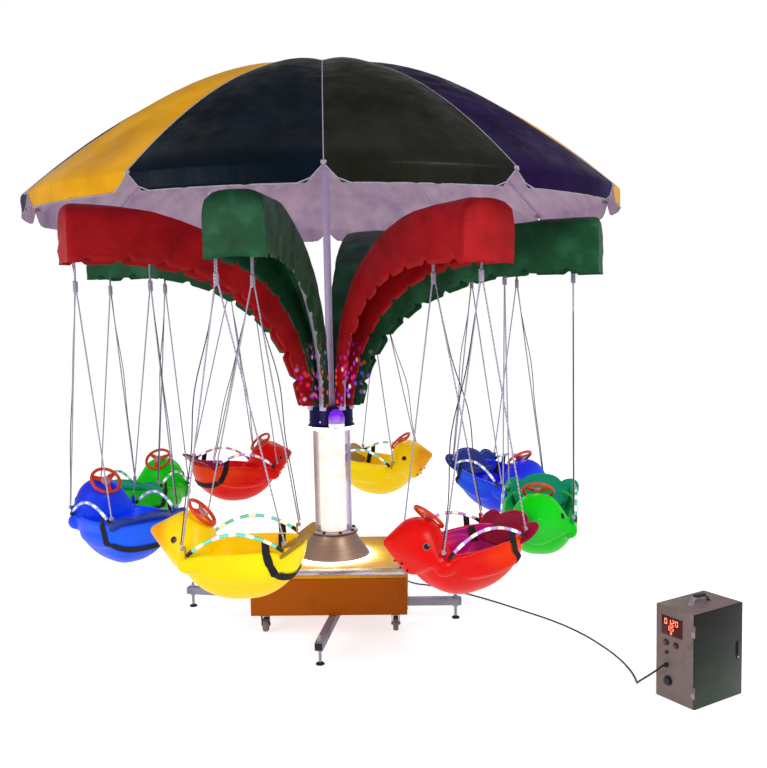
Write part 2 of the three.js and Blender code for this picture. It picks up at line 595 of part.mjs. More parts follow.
// Canopy frame: a crown on the pole's top, twelve ribs, a runner and a stretcher to each rib
{
  const bore = POLE_RADIUS + EYE_GAP;
  const crownTop = CANOPY_TOP - 16;
  const pieces = [
    ring(bore, CROWN_RADIUS, crownTop - CROWN_HEIGHT, crownTop, 16),
    ring(bore, CROWN_RADIUS - 4, RUNNER_Z - RUNNER_HEIGHT / 2, RUNNER_Z + RUNNER_HEIGHT / 2, 16),
  ];
  // along the canopy's own facets, a little below them
  const line = [0, ...CANOPY_RADII.slice(0, -1), RIB_END].map((r) => [r, canopyZ(r)]);
  const last = CANOPY_RADII.length;
  const [fromR, toR] = [CANOPY_RADII[last - 2], CANOPY_RADII[last - 1]];
  const slope = (canopyZ(toR) - canopyZ(fromR)) / (toR - fromR);
  line[last] = [RIB_END, canopyZ(fromR) + slope * (RIB_END - fromR)];
  const first = (canopyZ(CANOPY_RADII[0]) - CANOPY_TOP) / CANOPY_RADII[0];
  line[0] = [CROWN_RADIUS - 6, CANOPY_TOP + first * (CROWN_RADIUS - 6)];
  const under = (drop) => line.map(([r, z]) => [r, z - drop]);
  const outline = [...under(RIB_DEPTH + 2), ...under(2 * GAP).reverse()];
  for (let i = 0; i < RIBS; i += 1) {
    const turn = ((2 * Math.PI) / RIBS) * i;
    pieces.push(radialPlate(outline, RIB_WIDTH).rotateZ(turn));
    const rib = canopyZ(STRETCHER_REACH) - RIB_DEPTH + 2;
    const foot = [0, -CROWN_RADIUS + 8, RUNNER_Z];
    pieces.push(rod(foot, [0, -STRETCHER_REACH, rib], STRETCHER_RADIUS, 4).rotateZ(turn));
  }
  add(ride, 'canopy_frame', join(...pieces), 'lavenderSteel');
  const pole = drum(POLE_RADIUS, COLLAR_TOP + GAP, crownTop - 2, 16);
  const collarNut = turned([
    [0, COLLAR_TOP + GAP], [34, COLLAR_TOP + GAP], [34, COLLAR_TOP + 40], [0, COLLAR_TOP + 40],
  ], 12);
  add(ride, 'canopy_pole', join(pole, collarNut), 'lavenderSteel');
}

// The bird: a hull with a tub for the child, a head that tapers to its beak and widens into a cowl, a lobed
// tail fan, two stub wings, a steering wheel and four lugs
function bird() {
  const above = box([1000, 600, 400], [0, 0, SEAT_RIM + 200]);
  const mirrored = TAIL_OUTLINE.slice(0, -1).map(([back, out]) => [back, -out]).reverse();
  const outline = [...TAIL_OUTLINE, ...mirrored].map(([back, out]) => new THREE.Vector2(-back, out));
  const plate = { depth: TAIL_THICKNESS, bevelEnabled: false };
  const tail = new THREE.ExtrudeGeometry(new THREE.Shape(outline), plate);
  tail.rotateY(rad(TAIL_SLOPE)).translate(...TAIL_ROOT);
  const hull = cut(join(cut(egg(HULL, 14, 8), above), tail), egg(TUB, 10, 6));
  const lumps = [egg(SKULL, 12, 8), egg(BEAK, 6, 4), egg(CHIN, 6, 4), egg(COWL, 10, 4)];
  const head = geometryOf(wasm.Manifold.hull(lumps.map(solid)));
  const [wingX, wingY, wingZ] = WING.at;
  const wings = [-1, 1].map((side) => egg({ ...WING, at: [wingX, side * wingY, wingZ] }, 8, 4));
  const star = new THREE.Shape();
  for (let i = 0; i < 3; i += 1) {
    const spoke = rad(60 + 120 * i);
    for (const turn of [-0.12, 0.12]) {
      star.lineTo(STEERING_RADIUS * Math.cos(spoke + turn), STEERING_RADIUS * Math.sin(spoke + turn));
    }
    star.lineTo(18 * Math.cos(spoke + rad(60)), 18 * Math.sin(spoke + rad(60)));
  }
  const spokes = new THREE.ExtrudeGeometry(star, { depth: 7, bevelEnabled: false }).translate(0, 0, -3.5);
  const rim = new THREE.TorusGeometry(STEERING_RADIUS, STEERING_RIM, 4, 12);
  const steering = join(rim, spokes).rotateY(-rad(STEERING_LEAN)).translate(...WHEEL_CENTRE);
  const column = rod(WHEEL_CENTRE, COLUMN_END, 9, 4);
  const lugs = [];
  const high = LOWER_PIVOT + LOWER_LUG.above;
  const apart = LOWER_EYE.length / 2 + EYE_GAP + LOWER_LUG.thick / 2;
  const [middleY, middleZ] = [(LOWER_LUG.to + LOWER_LUG.from) / 2, (high + LOWER_LUG.foot) / 2];
  for (const side of [-1, 1]) {
    for (const end of [-1, 1]) {
      lugs.push(box(
        [LOWER_LUG.thick, LOWER_LUG.to - LOWER_LUG.from, high - LOWER_LUG.foot],
        [end * (ROPE_REACH - apart), side * middleY, middleZ],
      ));
    }
  }
  return join(hull, head, ...wings, steering, column, ...lugs);
}

// One side's ropes: an eye at the arm, a doubled rope to the knot, and a rope to each end of the seat
function ropes(i, side) {
  const top = ropeTop(i, side);
  const knot = vector(top.x, top.y, KNOT_Z);
  const [fore, aft] = [ROPE_REACH, -ROPE_REACH].map(
    (x) => vector(x, top.y, LOWER_PIVOT).applyMatrix4(seatFrame(i)),
  );
  const along = fore.clone().sub(aft).normalize();
  const eye = (at, { radius, length }) => {
    const reach = along.clone().multiplyScalar(length / 2);
    return rod(at.clone().sub(reach), at.clone().add(reach), radius, 6);
  };
  return join(
    eye(top, UPPER_EYE),
    rod(top, knot, DOUBLED_ROPE_RADIUS, 4),
    new THREE.OctahedronGeometry(KNOT_RADIUS, 0).rotateZ(0.4).translate(...knot),
    rod(knot, fore, ROPE_RADIUS, 4),
    rod(knot, aft, ROPE_RADIUS, 4),
    eye(fore, LOWER_EYE),
    eye(aft, LOWER_EYE),
  );
}

const birdShape = bird();
ARM_AZIMUTHS.forEach((azimuth, i) => {
  const hanging = new THREE.Group();
  hanging.applyMatrix4(hangingFrame(i));
  ride.add(hanging);
  add(hanging, `seat_${i + 1}`, birdShape, SEAT_COLOURS[i]).applyMatrix4(seatFrame(i));
  add(hanging, `ropes_outer_${i + 1}`, ropes(i, 1), 'rope');
  add(hanging, `ropes_inner_${i + 1}`, ropes(i, -1), 'rope');
});

// Control cabinet: a steel case with a door in one side, a display, buttons and sockets on its front panel
{
  const cabinet = new THREE.Group();
  cabinet.position.set(...CABINET_CENTRE, 0);
  cabinet.rotation.z = rad(CABINET_TURN);
  ride.add(cabinet);
  const [w, d, h] = [CABINET_WIDTH, CABINET_DEPTH, CABINET_HEIGHT];
  const [hingeX, hingeY] = [-w / 2 - HINGE_OUT, -d / 2 + 2];
  // each hinge: a barrel on the door, and below it a slimmer knuckle on a strap from the case
  const barrels = HINGE_HEIGHTS.map(
    (z) => drum(HINGE_RADIUS, z, z + HINGE_LENGTH, 8).translate(hingeX, hingeY, 0),
  );
  const knuckles = HINGE_HEIGHTS.map((z) => join(
    drum(KNUCKLE_RADIUS, z - HINGE_LENGTH, z - GAP, 8).translate(hingeX, hingeY, 0),
    box(
      [HINGE_OUT + 0.5, 13, HINGE_LENGTH - 4],
      [-w / 2 - HINGE_OUT / 2 + 0.25, hingeY + 7.5, z - HINGE_LENGTH / 2],
    ),
  ));
  const hollow = box(
    [w - 2 * CABINET_WALL, d - CABINET_WALL, h - 2 * CABINET_WALL],
    [0, -CABINET_WALL / 2 - CABINET_WALL, h / 2],
  );
  const shell = cut(box([w, d - DOOR_THICKNESS, h], [0, DOOR_THICKNESS / 2, h / 2]), hollow);
  const front = -w / 2;
  const display = box([4, 100, 72], [front - 1, 16, 310]);
  const buttons = [[45, 238, 13], [-5, 238, 13], [42, 197, 8]].map(
    ([y, z, radius]) => rod([front + 2, y, z], [front - 9, y, z], radius, 8),
  );
  const [glandY, glandZ] = CABINET_GLAND;
  const gland = rod([front + 4, glandY, glandZ], [front - GLAND_LENGTH, glandY, glandZ], GLAND_RADIUS, 8);
  const socket = rod([front + 2, 34, 80], [front - 12, 34, 80], 18, 12);
  const grip = CARRY_HANDLE.length / 2;
  const top = h + CARRY_HANDLE.rise - CARRY_HANDLE.radius;
  const handle = join(
    rod([-grip, 0, h - 3], [-grip, 0, top], CARRY_HANDLE.radius, 8),
    rod([grip, 0, h - 3], [grip, 0, top], CARRY_HANDLE.radius, 8),
    rod([-grip - 6, 0, top], [grip + 6, 0, top], CARRY_HANDLE.radius, 8),
  );
  const housing = join(shell, display, ...buttons, gland, socket, handle, ...knuckles);
  add(cabinet, 'control_cabinet', housing, 'cabinetSteel');
  const leafDepth = DOOR_THICKNESS - GAP;
  const leaf = box([w - 2, leafDepth, h - 2], [0, (leafDepth - d) / 2, h / 2]);
  const latch = box([12, 8, 70], [w / 2 - 30, -d / 2 - 2, h / 2]);
  add(cabinet, 'cabinet_door', join(leaf, latch, ...barrels), 'doorSteel');

  // the cable between the two glands
  const housingFace = HOUSING_WIDTH / 2 + GLAND_LENGTH + CABLE_END_GAP;
  const straight = 12;
  const droop = (out) => Math.max(out - straight, 0) ** 2 / 40;
  const start = [0, straight, 30].map(
    (out) => vector(HOUSING_GLAND[0], housingFace + out, HOUSING_GLAND[1] - droop(out)),
  );
  const socketFace = front - GLAND_LENGTH - CABLE_END_GAP;
  const end = [26, straight, 0].map(
    (out) => vector(socketFace - out, CABINET_GLAND[0], CABINET_GLAND[1] - droop(out)),
  );
  for (const point of start) point.applyAxisAngle(vector(0, 0, 1), base.rotation.z);
  for (const point of end) point.applyAxisAngle(vector(0, 0, 1), cabinet.rotation.z).add(cabinet.position);
  const route = new THREE.CatmullRomCurve3([...start, ...CABLE_ROUTE.map((p) => vector(...p)), ...end]);
  const section = new THREE.Shape();
  section.absarc(0, 0, CABLE_RADIUS, 0, 2 * Math.PI);
  const options = { steps: 48, curveSegments: 4, extrudePath: route, bevelEnabled: false };
  add(ride, 'control_cable', new THREE.ExtrudeGeometry(section, options), 'cable');
}

export default object;
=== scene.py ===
# %% [markdown]
# # A children's swing ride
#
# The real thing is a portable ride. Eight bird-shaped seats hang on ropes from curved arms, the arms turn
# on a lit column, and a fabric canopy with twelve ribs stands on the same head. A small steel cabinet on a
# cable controls it. The solid model arrives finished, as a frame of named parts in metres with Z up. This
# lesson dresses that frame: it keeps the places and sizes of the solids, and makes each visible piece again
# with the edges, creases, seams and finishes that the eye expects.

# %% Start from the frame
import math

import bmesh
import bpy
from mathutils import Matrix, Vector, noise
from mathutils.bvhtree import BVHTree


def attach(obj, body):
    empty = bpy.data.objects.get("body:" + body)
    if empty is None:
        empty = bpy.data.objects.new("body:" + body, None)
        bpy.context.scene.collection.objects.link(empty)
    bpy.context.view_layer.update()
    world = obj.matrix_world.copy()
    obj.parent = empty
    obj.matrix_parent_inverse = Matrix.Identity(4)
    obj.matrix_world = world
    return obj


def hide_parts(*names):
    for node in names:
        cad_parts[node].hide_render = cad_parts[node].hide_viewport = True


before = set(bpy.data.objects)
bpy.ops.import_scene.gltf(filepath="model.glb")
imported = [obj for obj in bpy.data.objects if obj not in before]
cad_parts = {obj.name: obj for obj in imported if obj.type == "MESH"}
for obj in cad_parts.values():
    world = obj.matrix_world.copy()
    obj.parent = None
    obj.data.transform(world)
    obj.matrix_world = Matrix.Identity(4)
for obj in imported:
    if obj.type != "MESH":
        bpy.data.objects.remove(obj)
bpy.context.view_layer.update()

# %% [markdown]
# ## The camera
#
# The picture was taken a little above a child's head height, looking slightly down, from about five metres.
# A photographer rarely holds the camera quite level, so this one is rolled by about one degree as well. The
# turns are kept as three plain angles: a yaw about the vertical, a pitch, and a roll about the line of sight.

# %% Camera
PICTURE_PIXELS = 768
FOCAL_PIXELS = 927.4
CAMERA_PLACE = (-0.080, -4.869, 1.628)
CAMERA_YAW, CAMERA_PITCH, CAMERA_ROLL = -0.0537, -0.0831, -0.0197

camera_data = bpy.data.cameras.new("camera")
camera_data.sensor_width = 36
camera_data.lens = 36 * FOCAL_PIXELS / PICTURE_PIXELS
camera = bpy.data.objects.new("camera", camera_data)
bpy.context.collection.objects.link(camera)
camera.matrix_world = (
    Matrix.Translation(CAMERA_PLACE)
    @ Matrix.Rotation(CAMERA_YAW, 4, "Z")
    @ Matrix.Rotation(math.pi / 2 + CAMERA_PITCH, 4, "X")
    @ Matrix.Rotation(CAMERA_ROLL, 4, "Z")
)
bpy.context.scene.camera = camera
print("lens", round(camera_data.lens, 2), "mm")

# %% [markdown]
# ## Tools for the whole lesson
#
# Colours are written as the hex values that a paint program shows. Those are sRGB, and the shaders want
# linear light, so one function turns them. Another adds a shader node together with its settings and links,
# which keeps each material down to a few readable lines. A material starts with its tree and the object's
# own coordinates, which are metres, so a noise of scale 1000 / 4 has blotches of about four millimetres. It
# ends with one shader and the output.

# %% Colours and nodes
def linear(hex_colour):
    """An sRGB hex value as linear red, green, blue and an alpha of one."""
    channels = [int(hex_colour[i:i + 2], 16) / 255 for i in (1, 3, 5)]
    return [c / 12.92 if c <= 0.04045 else ((c + 0.055) / 1.055) ** 2.4 for c in channels] + [1.0]


def add(tree, kind, settings=None, links=None):
    """Adds one node with its settings, which are attributes, socket values or a ramp's stops, and its links."""
    node = tree.nodes.new("ShaderNode" + kind)
    for name, value in (settings or {}).items():
        if name == "stops":
            while len(node.color_ramp.elements) < len(value):
                node.color_ramp.elements.new(0.5)
            for element, (position, colour) in zip(node.color_ramp.elements, value):
                element.position = position
                element.color = linear(colour) if isinstance(colour, str) else [colour] * 3 + [1]
        elif isinstance(name, str) and hasattr(node, name):
            setattr(node, name, value)
        else:
            node.inputs[name].default_value = linear(value) if isinstance(value, str) else value
    for name, source in (links or {}).items():
        output = source if isinstance(source, bpy.types.NodeSocket) else source.outputs[0]
        tree.links.new(output, node.inputs[name])
    return node


def start_material(name):
    """An empty material with its tree and the object's own coordinates."""
    material = bpy.data.materials.new(name)
    material.use_nodes = True
    tree = material.node_tree
    tree.nodes.clear()
    return material, tree, add(tree, "TexCoord").outputs["Object"]


def close_material(material, tree, tint, gloss, bent, settings=None, links=None):
    """Ends a tree with a shader, led by its colour, roughness and bump, and the output."""
    main = {"Base Color": tint, "Roughness": gloss, "Normal": bent}
    shader = add(tree, "BsdfPrincipled", settings, main | (links or {}))
    add(tree, "OutputMaterial", links={"Surface": shader})
    return material


print("materials can be made")

# %% [markdown]
# A bmesh is a mesh that is being worked on. Each shape below starts from one of Blender's own shapes and is
# extruded, spun, bevelled or bent. The helpers add such a shape to a bmesh, and the last one turns the
# finished bmesh into an object at the origin that rides on a body of the frame.

# %% Shapes
RIDE_AXIS = Vector((-0.098, 0, 0))


def on_ride(radius, azimuth, height):
    """A point of the ride. Azimuth is in degrees from the front, and turns towards +X."""
    turn = math.radians(azimuth)
    return RIDE_AXIS + Vector((radius * math.sin(turn), -radius * math.cos(turn), height))


def take_in(bm, shape, move=Matrix(), material=0):
    """Adds a finished small bmesh to a bigger one, moved into place and with one material index."""
    shape.transform(move)
    for face in shape.faces:
        face.material_index = material
    mesh = bpy.data.meshes.new("part")
    shape.to_mesh(mesh)
    shape.free()
    bm.from_mesh(mesh)
    bpy.data.meshes.remove(mesh)


def round_edges(shape, edges, offset, segments=2):
    """Rounds edges with a bevel."""
    bmesh.ops.bevel(shape, geom=edges, offset=offset, affect="EDGES", segments=segments, profile=0.5, material=-1)


def lathe(bm, profile, steps, centre=RIDE_AXIS, material=0, turn=Matrix()):
    """Spins a line of (radius, height) right round the vertical through a centre."""
    shape = bmesh.new()
    points = [shape.verts.new((radius, 0, height)) for radius, height in profile]
    line = [shape.edges.new(pair) for pair in zip(points, points[1:])]
    bmesh.ops.spin(
        shape, geom=points + line, cent=(0, 0, 0), axis=(0, 0, 1), angle=2 * math.pi, steps=steps, use_merge=True
    )
    bmesh.ops.remove_doubles(shape, verts=shape.verts, dist=1e-6)
    bmesh.ops.recalc_face_normals(shape, faces=shape.faces)
    take_in(bm, shape, Matrix.Translation(centre) @ turn, material)


def block(bm, size, centre, round_by=0.0, material=0, turn=Matrix(), segments=2):
    """A box with rounded edges, turned about its centre."""
    shape = bmesh.new()
    bmesh.ops.create_cube(shape, size=1, matrix=Matrix.Diagonal((*size, 1)))
    if round_by:
        round_edges(shape, shape.edges, round_by, segments)
    take_in(bm, shape, Matrix.Translation(centre) @ turn, material)


def plate(bm, outline, depth, round_by, segments=2, move=Matrix()):
    """A flat plate with rounded edges, extruded from the face inside an outline."""
    shape = bmesh.new()
    face = shape.faces.new([shape.verts.new(point) for point in outline])
    raised = bmesh.ops.extrude_face_region(shape, geom=[face])["geom"]
    bmesh.ops.translate(shape, verts=[v for v in raised if isinstance(v, bmesh.types.BMVert)], vec=depth)
    bmesh.ops.recalc_face_normals(shape, faces=shape.faces)
    round_edges(shape, shape.edges, round_by, segments)
    take_in(bm, shape, move)


def bar(bm, start, end, radius, sides=16, end_radius=None, round_by=0.0, material=0):
    """A round bar from one point to another, with its end edges rounded where asked."""
    start, end = Vector(start), Vector(end)
    along = end - start
    shape = bmesh.new()
    bmesh.ops.create_cone(
        shape, cap_ends=True, segments=sides, radius1=radius, radius2=end_radius or radius, depth=along.length
    )
    if round_by:
        round_edges(shape, [e for e in shape.edges if abs(e.verts[0].co.z - e.verts[1].co.z) < 1e-6], round_by)
    turn = along.to_track_quat("Z", "Y").to_matrix().to_4x4()
    take_in(bm, shape, Matrix.Translation((start + end) / 2) @ turn, material)


def tube(bm, points, radius, sides=6, closed=False, material=0):
    """A round tube along points, by way of a curve with a bevel."""
    curve = bpy.data.curves.new("line", "CURVE")
    curve.dimensions = "3D"
    curve.bevel_depth = radius
    curve.bevel_resolution = max(0, sides // 4)
    curve.use_fill_caps = not closed
    spline = curve.splines.new("POLY")
    spline.points.add(len(points) - 1)
    for spot, point in zip(spline.points, points):
        spot.co = (*point, 1)
    spline.use_cyclic_u = closed
    holder = bpy.data.objects.new("line", curve)
    mesh = holder.to_mesh()
    for polygon in mesh.polygons:
        polygon.material_index = material
        polygon.use_smooth = True
    bm.from_mesh(mesh)
    holder.to_mesh_clear()
    bpy.data.objects.remove(holder)
    bpy.data.curves.remove(curve)


def make_object(name, bm):
    """Turns a bmesh into an object at the origin."""
    mesh = bpy.data.meshes.new(name)
    bm.to_mesh(mesh)
    bm.free()
    made = bpy.data.objects.new(name, mesh)
    bpy.context.collection.objects.link(made)
    return made


def finish_piece(name, bm, body, materials, replaces=(), crease=40):
    """Turns a bmesh into a piece, smooth except at creases, that rides on a body."""
    piece = make_object(name, bm)
    for material in materials:
        piece.data.materials.append(material)
    piece.data.shade_smooth()
    piece.data.set_sharp_from_angle(angle=math.radians(crease))
    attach(piece, body)
    if replaces:
        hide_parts(*replaces)
    return piece


def modify(piece, kind, **settings):
    """Adds a modifier with its settings."""
    modifier = piece.modifiers.new(kind.lower(), kind)
    for name, value in settings.items():
        setattr(modifier, name, value)


print("shapes turn about", tuple(RIDE_AXIS))

# %% [markdown]
# ## Coated canopy cloth
#
# The canopy is polyester cloth with a PVC coating, sewn from twelve panels in four colours. The coating is
# smooth enough to shine, and the folds from its packed state show as long soft creases. A coarse noise drawn
# out along the slope bends the light like those creases, and a fine one gives the coating its slight orange
# peel. The weave is too fine to show, so only its faint tooth is drawn.

# %% Canopy cloth
HEM_GLOSS = 2.22, 2.42


def coated_cloth(name, colour, deep, specular):
    material, tree, place = start_material(name)
    blotch = add(tree, "TexNoise", {"Scale": 1000 / 260, "Detail": 4}, {"Vector": place})
    tint = add(tree, "ValToRGB", {"stops": [(0.3, deep), (0.62, colour)]}, {"Fac": blotch})
    drawn_out = add(tree, "Mapping", {"Scale": (1, 1, 0.4)}, {"Vector": place})
    crease = add(tree, "TexNoise", {"Scale": 1000 / 90, "Detail": 5, "Roughness": 0.6}, {"Vector": drawn_out})
    height = add(tree, "SeparateXYZ", links={0: place}).outputs[2]
    by_hem = add(tree, "MapRange", {1: HEM_GLOSS[0], 2: HEM_GLOSS[1], 3: 0.0, 4: 0.3}, {0: height})
    dull = add(tree, "ValToRGB", {"stops": [(0.35, 0.22), (0.62, 0.45)]}, {"Fac": crease})
    gloss = add(tree, "Math", {"operation": "ADD"}, {0: dull, 1: by_hem})
    tooth = add(tree, "TexNoise", {"Scale": 1000 / 4}, {"Vector": place})
    relief = add(tree, "Math", {"operation": "MULTIPLY_ADD", 1: 0.04}, {0: tooth, 2: crease})
    bent = add(tree, "Bump", {"Strength": 0.45, "Distance": 0.010}, {"Height": relief})
    return close_material(material, tree, tint, gloss, bent, {"Specular IOR Level": specular})


CLOTH_NAVY = coated_cloth("coated cloth navy", "#04131F", "#020A12", 0.06)
CLOTH_OLIVE = coated_cloth("coated cloth olive black", "#20221A", "#12140D", 0.06)
CLOTH_PURPLE = coated_cloth("coated cloth purple", "#24143E", "#120828", 0.03)
CLOTH_YELLOW = coated_cloth("coated cloth yellow", "#EBA912", "#CC8C08", 0.12)
print(CLOTH_YELLOW.name, "has", len(CLOTH_YELLOW.node_tree.nodes), "nodes")

# %% [markdown]
# The inside of the canopy has a silvered back that takes on the colour of the lamps below it, a pale mauve.
# Blurred violet pools of light from the turning lamp lie on it in a ring, one in each panel. They stay where
# they are on the cloth, so they are painted in the object's own coordinates, as a little emission. The
# angle round the pole is folded into one panel, and a soft edge round its middle makes the pool.

# %% Canopy lining
PANELS = 12
POOL_RADIUS = 1.04


def canopy_lining():
    material, tree, place = start_material("silvered lining")
    drawn_out = add(tree, "Mapping", {"Scale": (1, 1, 0.33)}, {"Vector": place})
    gathers = add(tree, "TexNoise", {"Scale": 1000 / 110, "Detail": 4}, {"Vector": drawn_out})
    # the tint is darker in the hollows that the same noise bumps: painted shade in the folds of the gathers
    tint = add(tree, "ValToRGB", {"stops": [(0.25, "#9A86A6"), (0.7, "#C4ACC0")]}, {"Fac": gathers})
    bent = add(tree, "Bump", {"Strength": 0.6, "Distance": 0.012}, {"Height": gathers})
    centred = add(tree, "Mapping", {"Location": (-RIDE_AXIS.x, 0, 0)}, {"Vector": place})
    axes = add(tree, "SeparateXYZ", links={0: centred})
    level = add(tree, "CombineXYZ", links={0: axes.outputs[0], 1: axes.outputs[1]})
    radius = add(tree, "VectorMath", {"operation": "LENGTH"}, {0: level}).outputs["Value"]
    angle = add(tree, "Math", {"operation": "ARCTAN2"}, {0: axes.outputs[0], 1: axes.outputs[1]})
    panel = add(tree, "Math", {"operation": "MULTIPLY", 1: PANELS / (2 * math.pi)}, {0: angle})
    folded = add(tree, "Math", {"operation": "PINGPONG", 1: 0.5}, {0: panel})
    across = add(tree, "Math", {"operation": "SUBTRACT", 1: 0.5}, {0: folded})
    along = add(tree, "Math", {"operation": "SUBTRACT", 1: POOL_RADIUS}, {0: radius})
    spot = add(tree, "CombineXYZ", links={0: across, 1: along})
    wide = add(tree, "VectorMath", {"operation": "MULTIPLY", 1: (4.2, 5.6, 0)}, {0: spot})
    away = add(tree, "VectorMath", {"operation": "LENGTH"}, {0: wide}).outputs["Value"]
    fade = {"interpolation_type": "SMOOTHSTEP", 1: 1.0, 2: 0.1, 3: 0.0, 4: 0.9}
    pool = add(tree, "MapRange", fade, {0: away})
    lit = add(tree, "Mix", {"data_type": "RGBA", 7: linear("#6A30E8")}, {0: pool, 6: tint})
    strength = add(tree, "MapRange", {3: 0.28, 4: 0.85}, {0: pool})
    gloss = add(tree, "ValToRGB", {"stops": [(0.3, 0.5), (0.7, 0.62)]}, {"Fac": gathers})
    light = {"Emission Color": lit.outputs[2], "Emission Strength": strength}
    return close_material(material, tree, tint, gloss, bent, {"Specular IOR Level": 0.2}, light)


LINING = canopy_lining()
print(LINING.name, "has", len(LINING.node_tree.nodes), "nodes")

# %% [markdown]
# ## Tarpaulin for the arm covers
#
# The arm covers are cut from tarpaulin: a woven scrim between two films of vinyl. It is stiffer and duller
# than the canopy cloth, creases sharply, and shows the scrim as a fine grid. The scrim's threads lie about
# two millimetres apart, and are drawn at four so that they show at all. Close to the turning lamp the
# covers catch its coloured spots, which are cells of a Voronoi pattern that fade with the distance.

# %% Tarpaulin
SCRIM_MM, SPOT_MM = 4, 38
SPOT_CENTRE = (RIDE_AXIS.x + 0.03, -0.18, 1.15)


def tarpaulin(name, colour, deep, pale):
    material, tree, place = start_material(name)
    blotch = add(tree, "TexNoise", {"Scale": 1000 / 140, "Detail": 5}, {"Vector": place})
    tint = add(tree, "ValToRGB", {"stops": [(0.28, deep), (0.52, colour), (0.86, pale)]}, {"Fac": blotch})
    crease = add(tree, "TexNoise", {"Scale": 1000 / 60, "Detail": 6, "Roughness": 0.7}, {"Vector": place})
    gloss = add(tree, "ValToRGB", {"stops": [(0.3, 0.34), (0.75, 0.6)]}, {"Fac": crease})
    scrim = add(tree, "TexChecker", {"Scale": 1000 / SCRIM_MM}, {"Vector": place}).outputs["Fac"]
    relief = add(tree, "Math", {"operation": "MULTIPLY_ADD", 1: 0.05}, {0: scrim, 2: crease})
    bent = add(tree, "Bump", {"Strength": 0.7, "Distance": 0.007}, {"Height": relief})
    away = add(tree, "VectorMath", {"operation": "DISTANCE", 1: SPOT_CENTRE}, {0: place}).outputs["Value"]
    near = add(tree, "MapRange", {1: 0.34, 2: 0.12}, {0: away})
    cells = add(tree, "TexVoronoi", {"Scale": 1000 / SPOT_MM}, {"Vector": place})
    dot = add(tree, "MapRange", {1: 0.42, 2: 0.12}, {0: cells})
    hue = add(tree, "SeparateColor", links={0: cells.outputs["Color"]})
    stops = [(0.1, "#FF5A1E"), (0.35, "#FF2E5E"), (0.6, "#C43CFF"), (0.85, "#3C50FF"), (1.0, "#FFFFFF")]
    spot = add(tree, "ValToRGB", {"stops": stops}, {"Fac": hue})
    strength = add(tree, "Math", {"operation": "MULTIPLY"}, {0: near, 1: dot})
    light = {"Emission Color": spot, "Emission Strength": strength}
    return close_material(material, tree, tint, gloss, bent, {"Specular IOR Level": 0.18}, light)


TARPAULIN_RED = tarpaulin("red tarpaulin", "#B40F16", "#94080E", "#C21C22")
TARPAULIN_GREEN = tarpaulin("green tarpaulin", "#14502E", "#0E4024", "#347E56")
print(TARPAULIN_GREEN.name, "has", len(TARPAULIN_GREEN.node_tree.nodes), "nodes")

# %% [markdown]
# ## Painted metal
#
# The base is sheet steel in a gloss orange-brown paint, worn and dusty in places. The outriggers and forks
# are powder coated grey, with its fine orange peel. The pole and the ribs have a silver lacquer, and the
# cabinet a satin enamel. One material covers them all: a dust noise with many details moves both the colour
# and the gloss, and the peel is a much finer bump.

# %% Painted metal
def painted_steel(name, colour, worn, roughness=0.4, peel_mm=3.0, metallic=0.0, specular=0.5):
    material, tree, place = start_material(name)
    dust = add(tree, "TexNoise", {"Scale": 1000 / 70, "Detail": 8, "Roughness": 0.65}, {"Vector": place})
    tint = add(tree, "ValToRGB", {"stops": [(0.32, colour), (0.55, colour), (0.8, worn)]}, {"Fac": dust})
    low, high = max(0.05, roughness - 0.12), min(1.0, roughness + 0.18)
    gloss = add(tree, "ValToRGB", {"stops": [(0.3, low), (0.75, high)]}, {"Fac": dust})
    peel = add(tree, "TexNoise", {"Scale": 1000 / peel_mm}, {"Vector": place})
    bent = add(tree, "Bump", {"Strength": 0.35, "Distance": 0.00025}, {"Height": peel})
    settings = {"Metallic": metallic, "Specular IOR Level": specular}
    return close_material(material, tree, tint, gloss, bent, settings)


ORANGE_PAINT = painted_steel("orange gloss paint", "#AA5408", "#984A08", 0.4, specular=0.08)
GREY_POWDER = painted_steel("grey powder coat", "#A09BAE", "#7C7688", 0.5, 1.6, 0.35)
NAVY_PAINT = painted_steel("navy enamel", "#1B144E", "#110D30", 0.3, specular=0.08)
SILVER_LACQUER = painted_steel("silver lacquer", "#DACEEE", "#C2B4DA", 0.35, 2.5, 0.1)
CABINET_PAINT = painted_steel("satin grey enamel", "#82716F", "#6A5C5C", 0.38, 1.4, 0.2, 0.2)
ZINC = painted_steel("zinc plate", "#B7B4C0", "#8F8C9A", 0.35, 2.0, 0.4)
DARK_BOLT = painted_steel("black oxide steel", "#2B2838", "#1A1822", 0.4, 1.0, 0.6)
LEVER_PURPLE = painted_steel("purple anodised lever", "#7A3A8E", "#5A2A70", 0.35, 1.5, 0.4)
print(LEVER_PURPLE.name, "has", len(LEVER_PURPLE.node_tree.nodes), "nodes")

# %% [markdown]
# The cabinet's door is a darker enamel, nearly black green at the top and greyer towards the bottom, where
# it mirrors the ground. A height in the object's own coordinates drives that, because the door has it
# from every side.

# %% Door enamel
DOOR_HEIGHTS = 0.03, 0.40


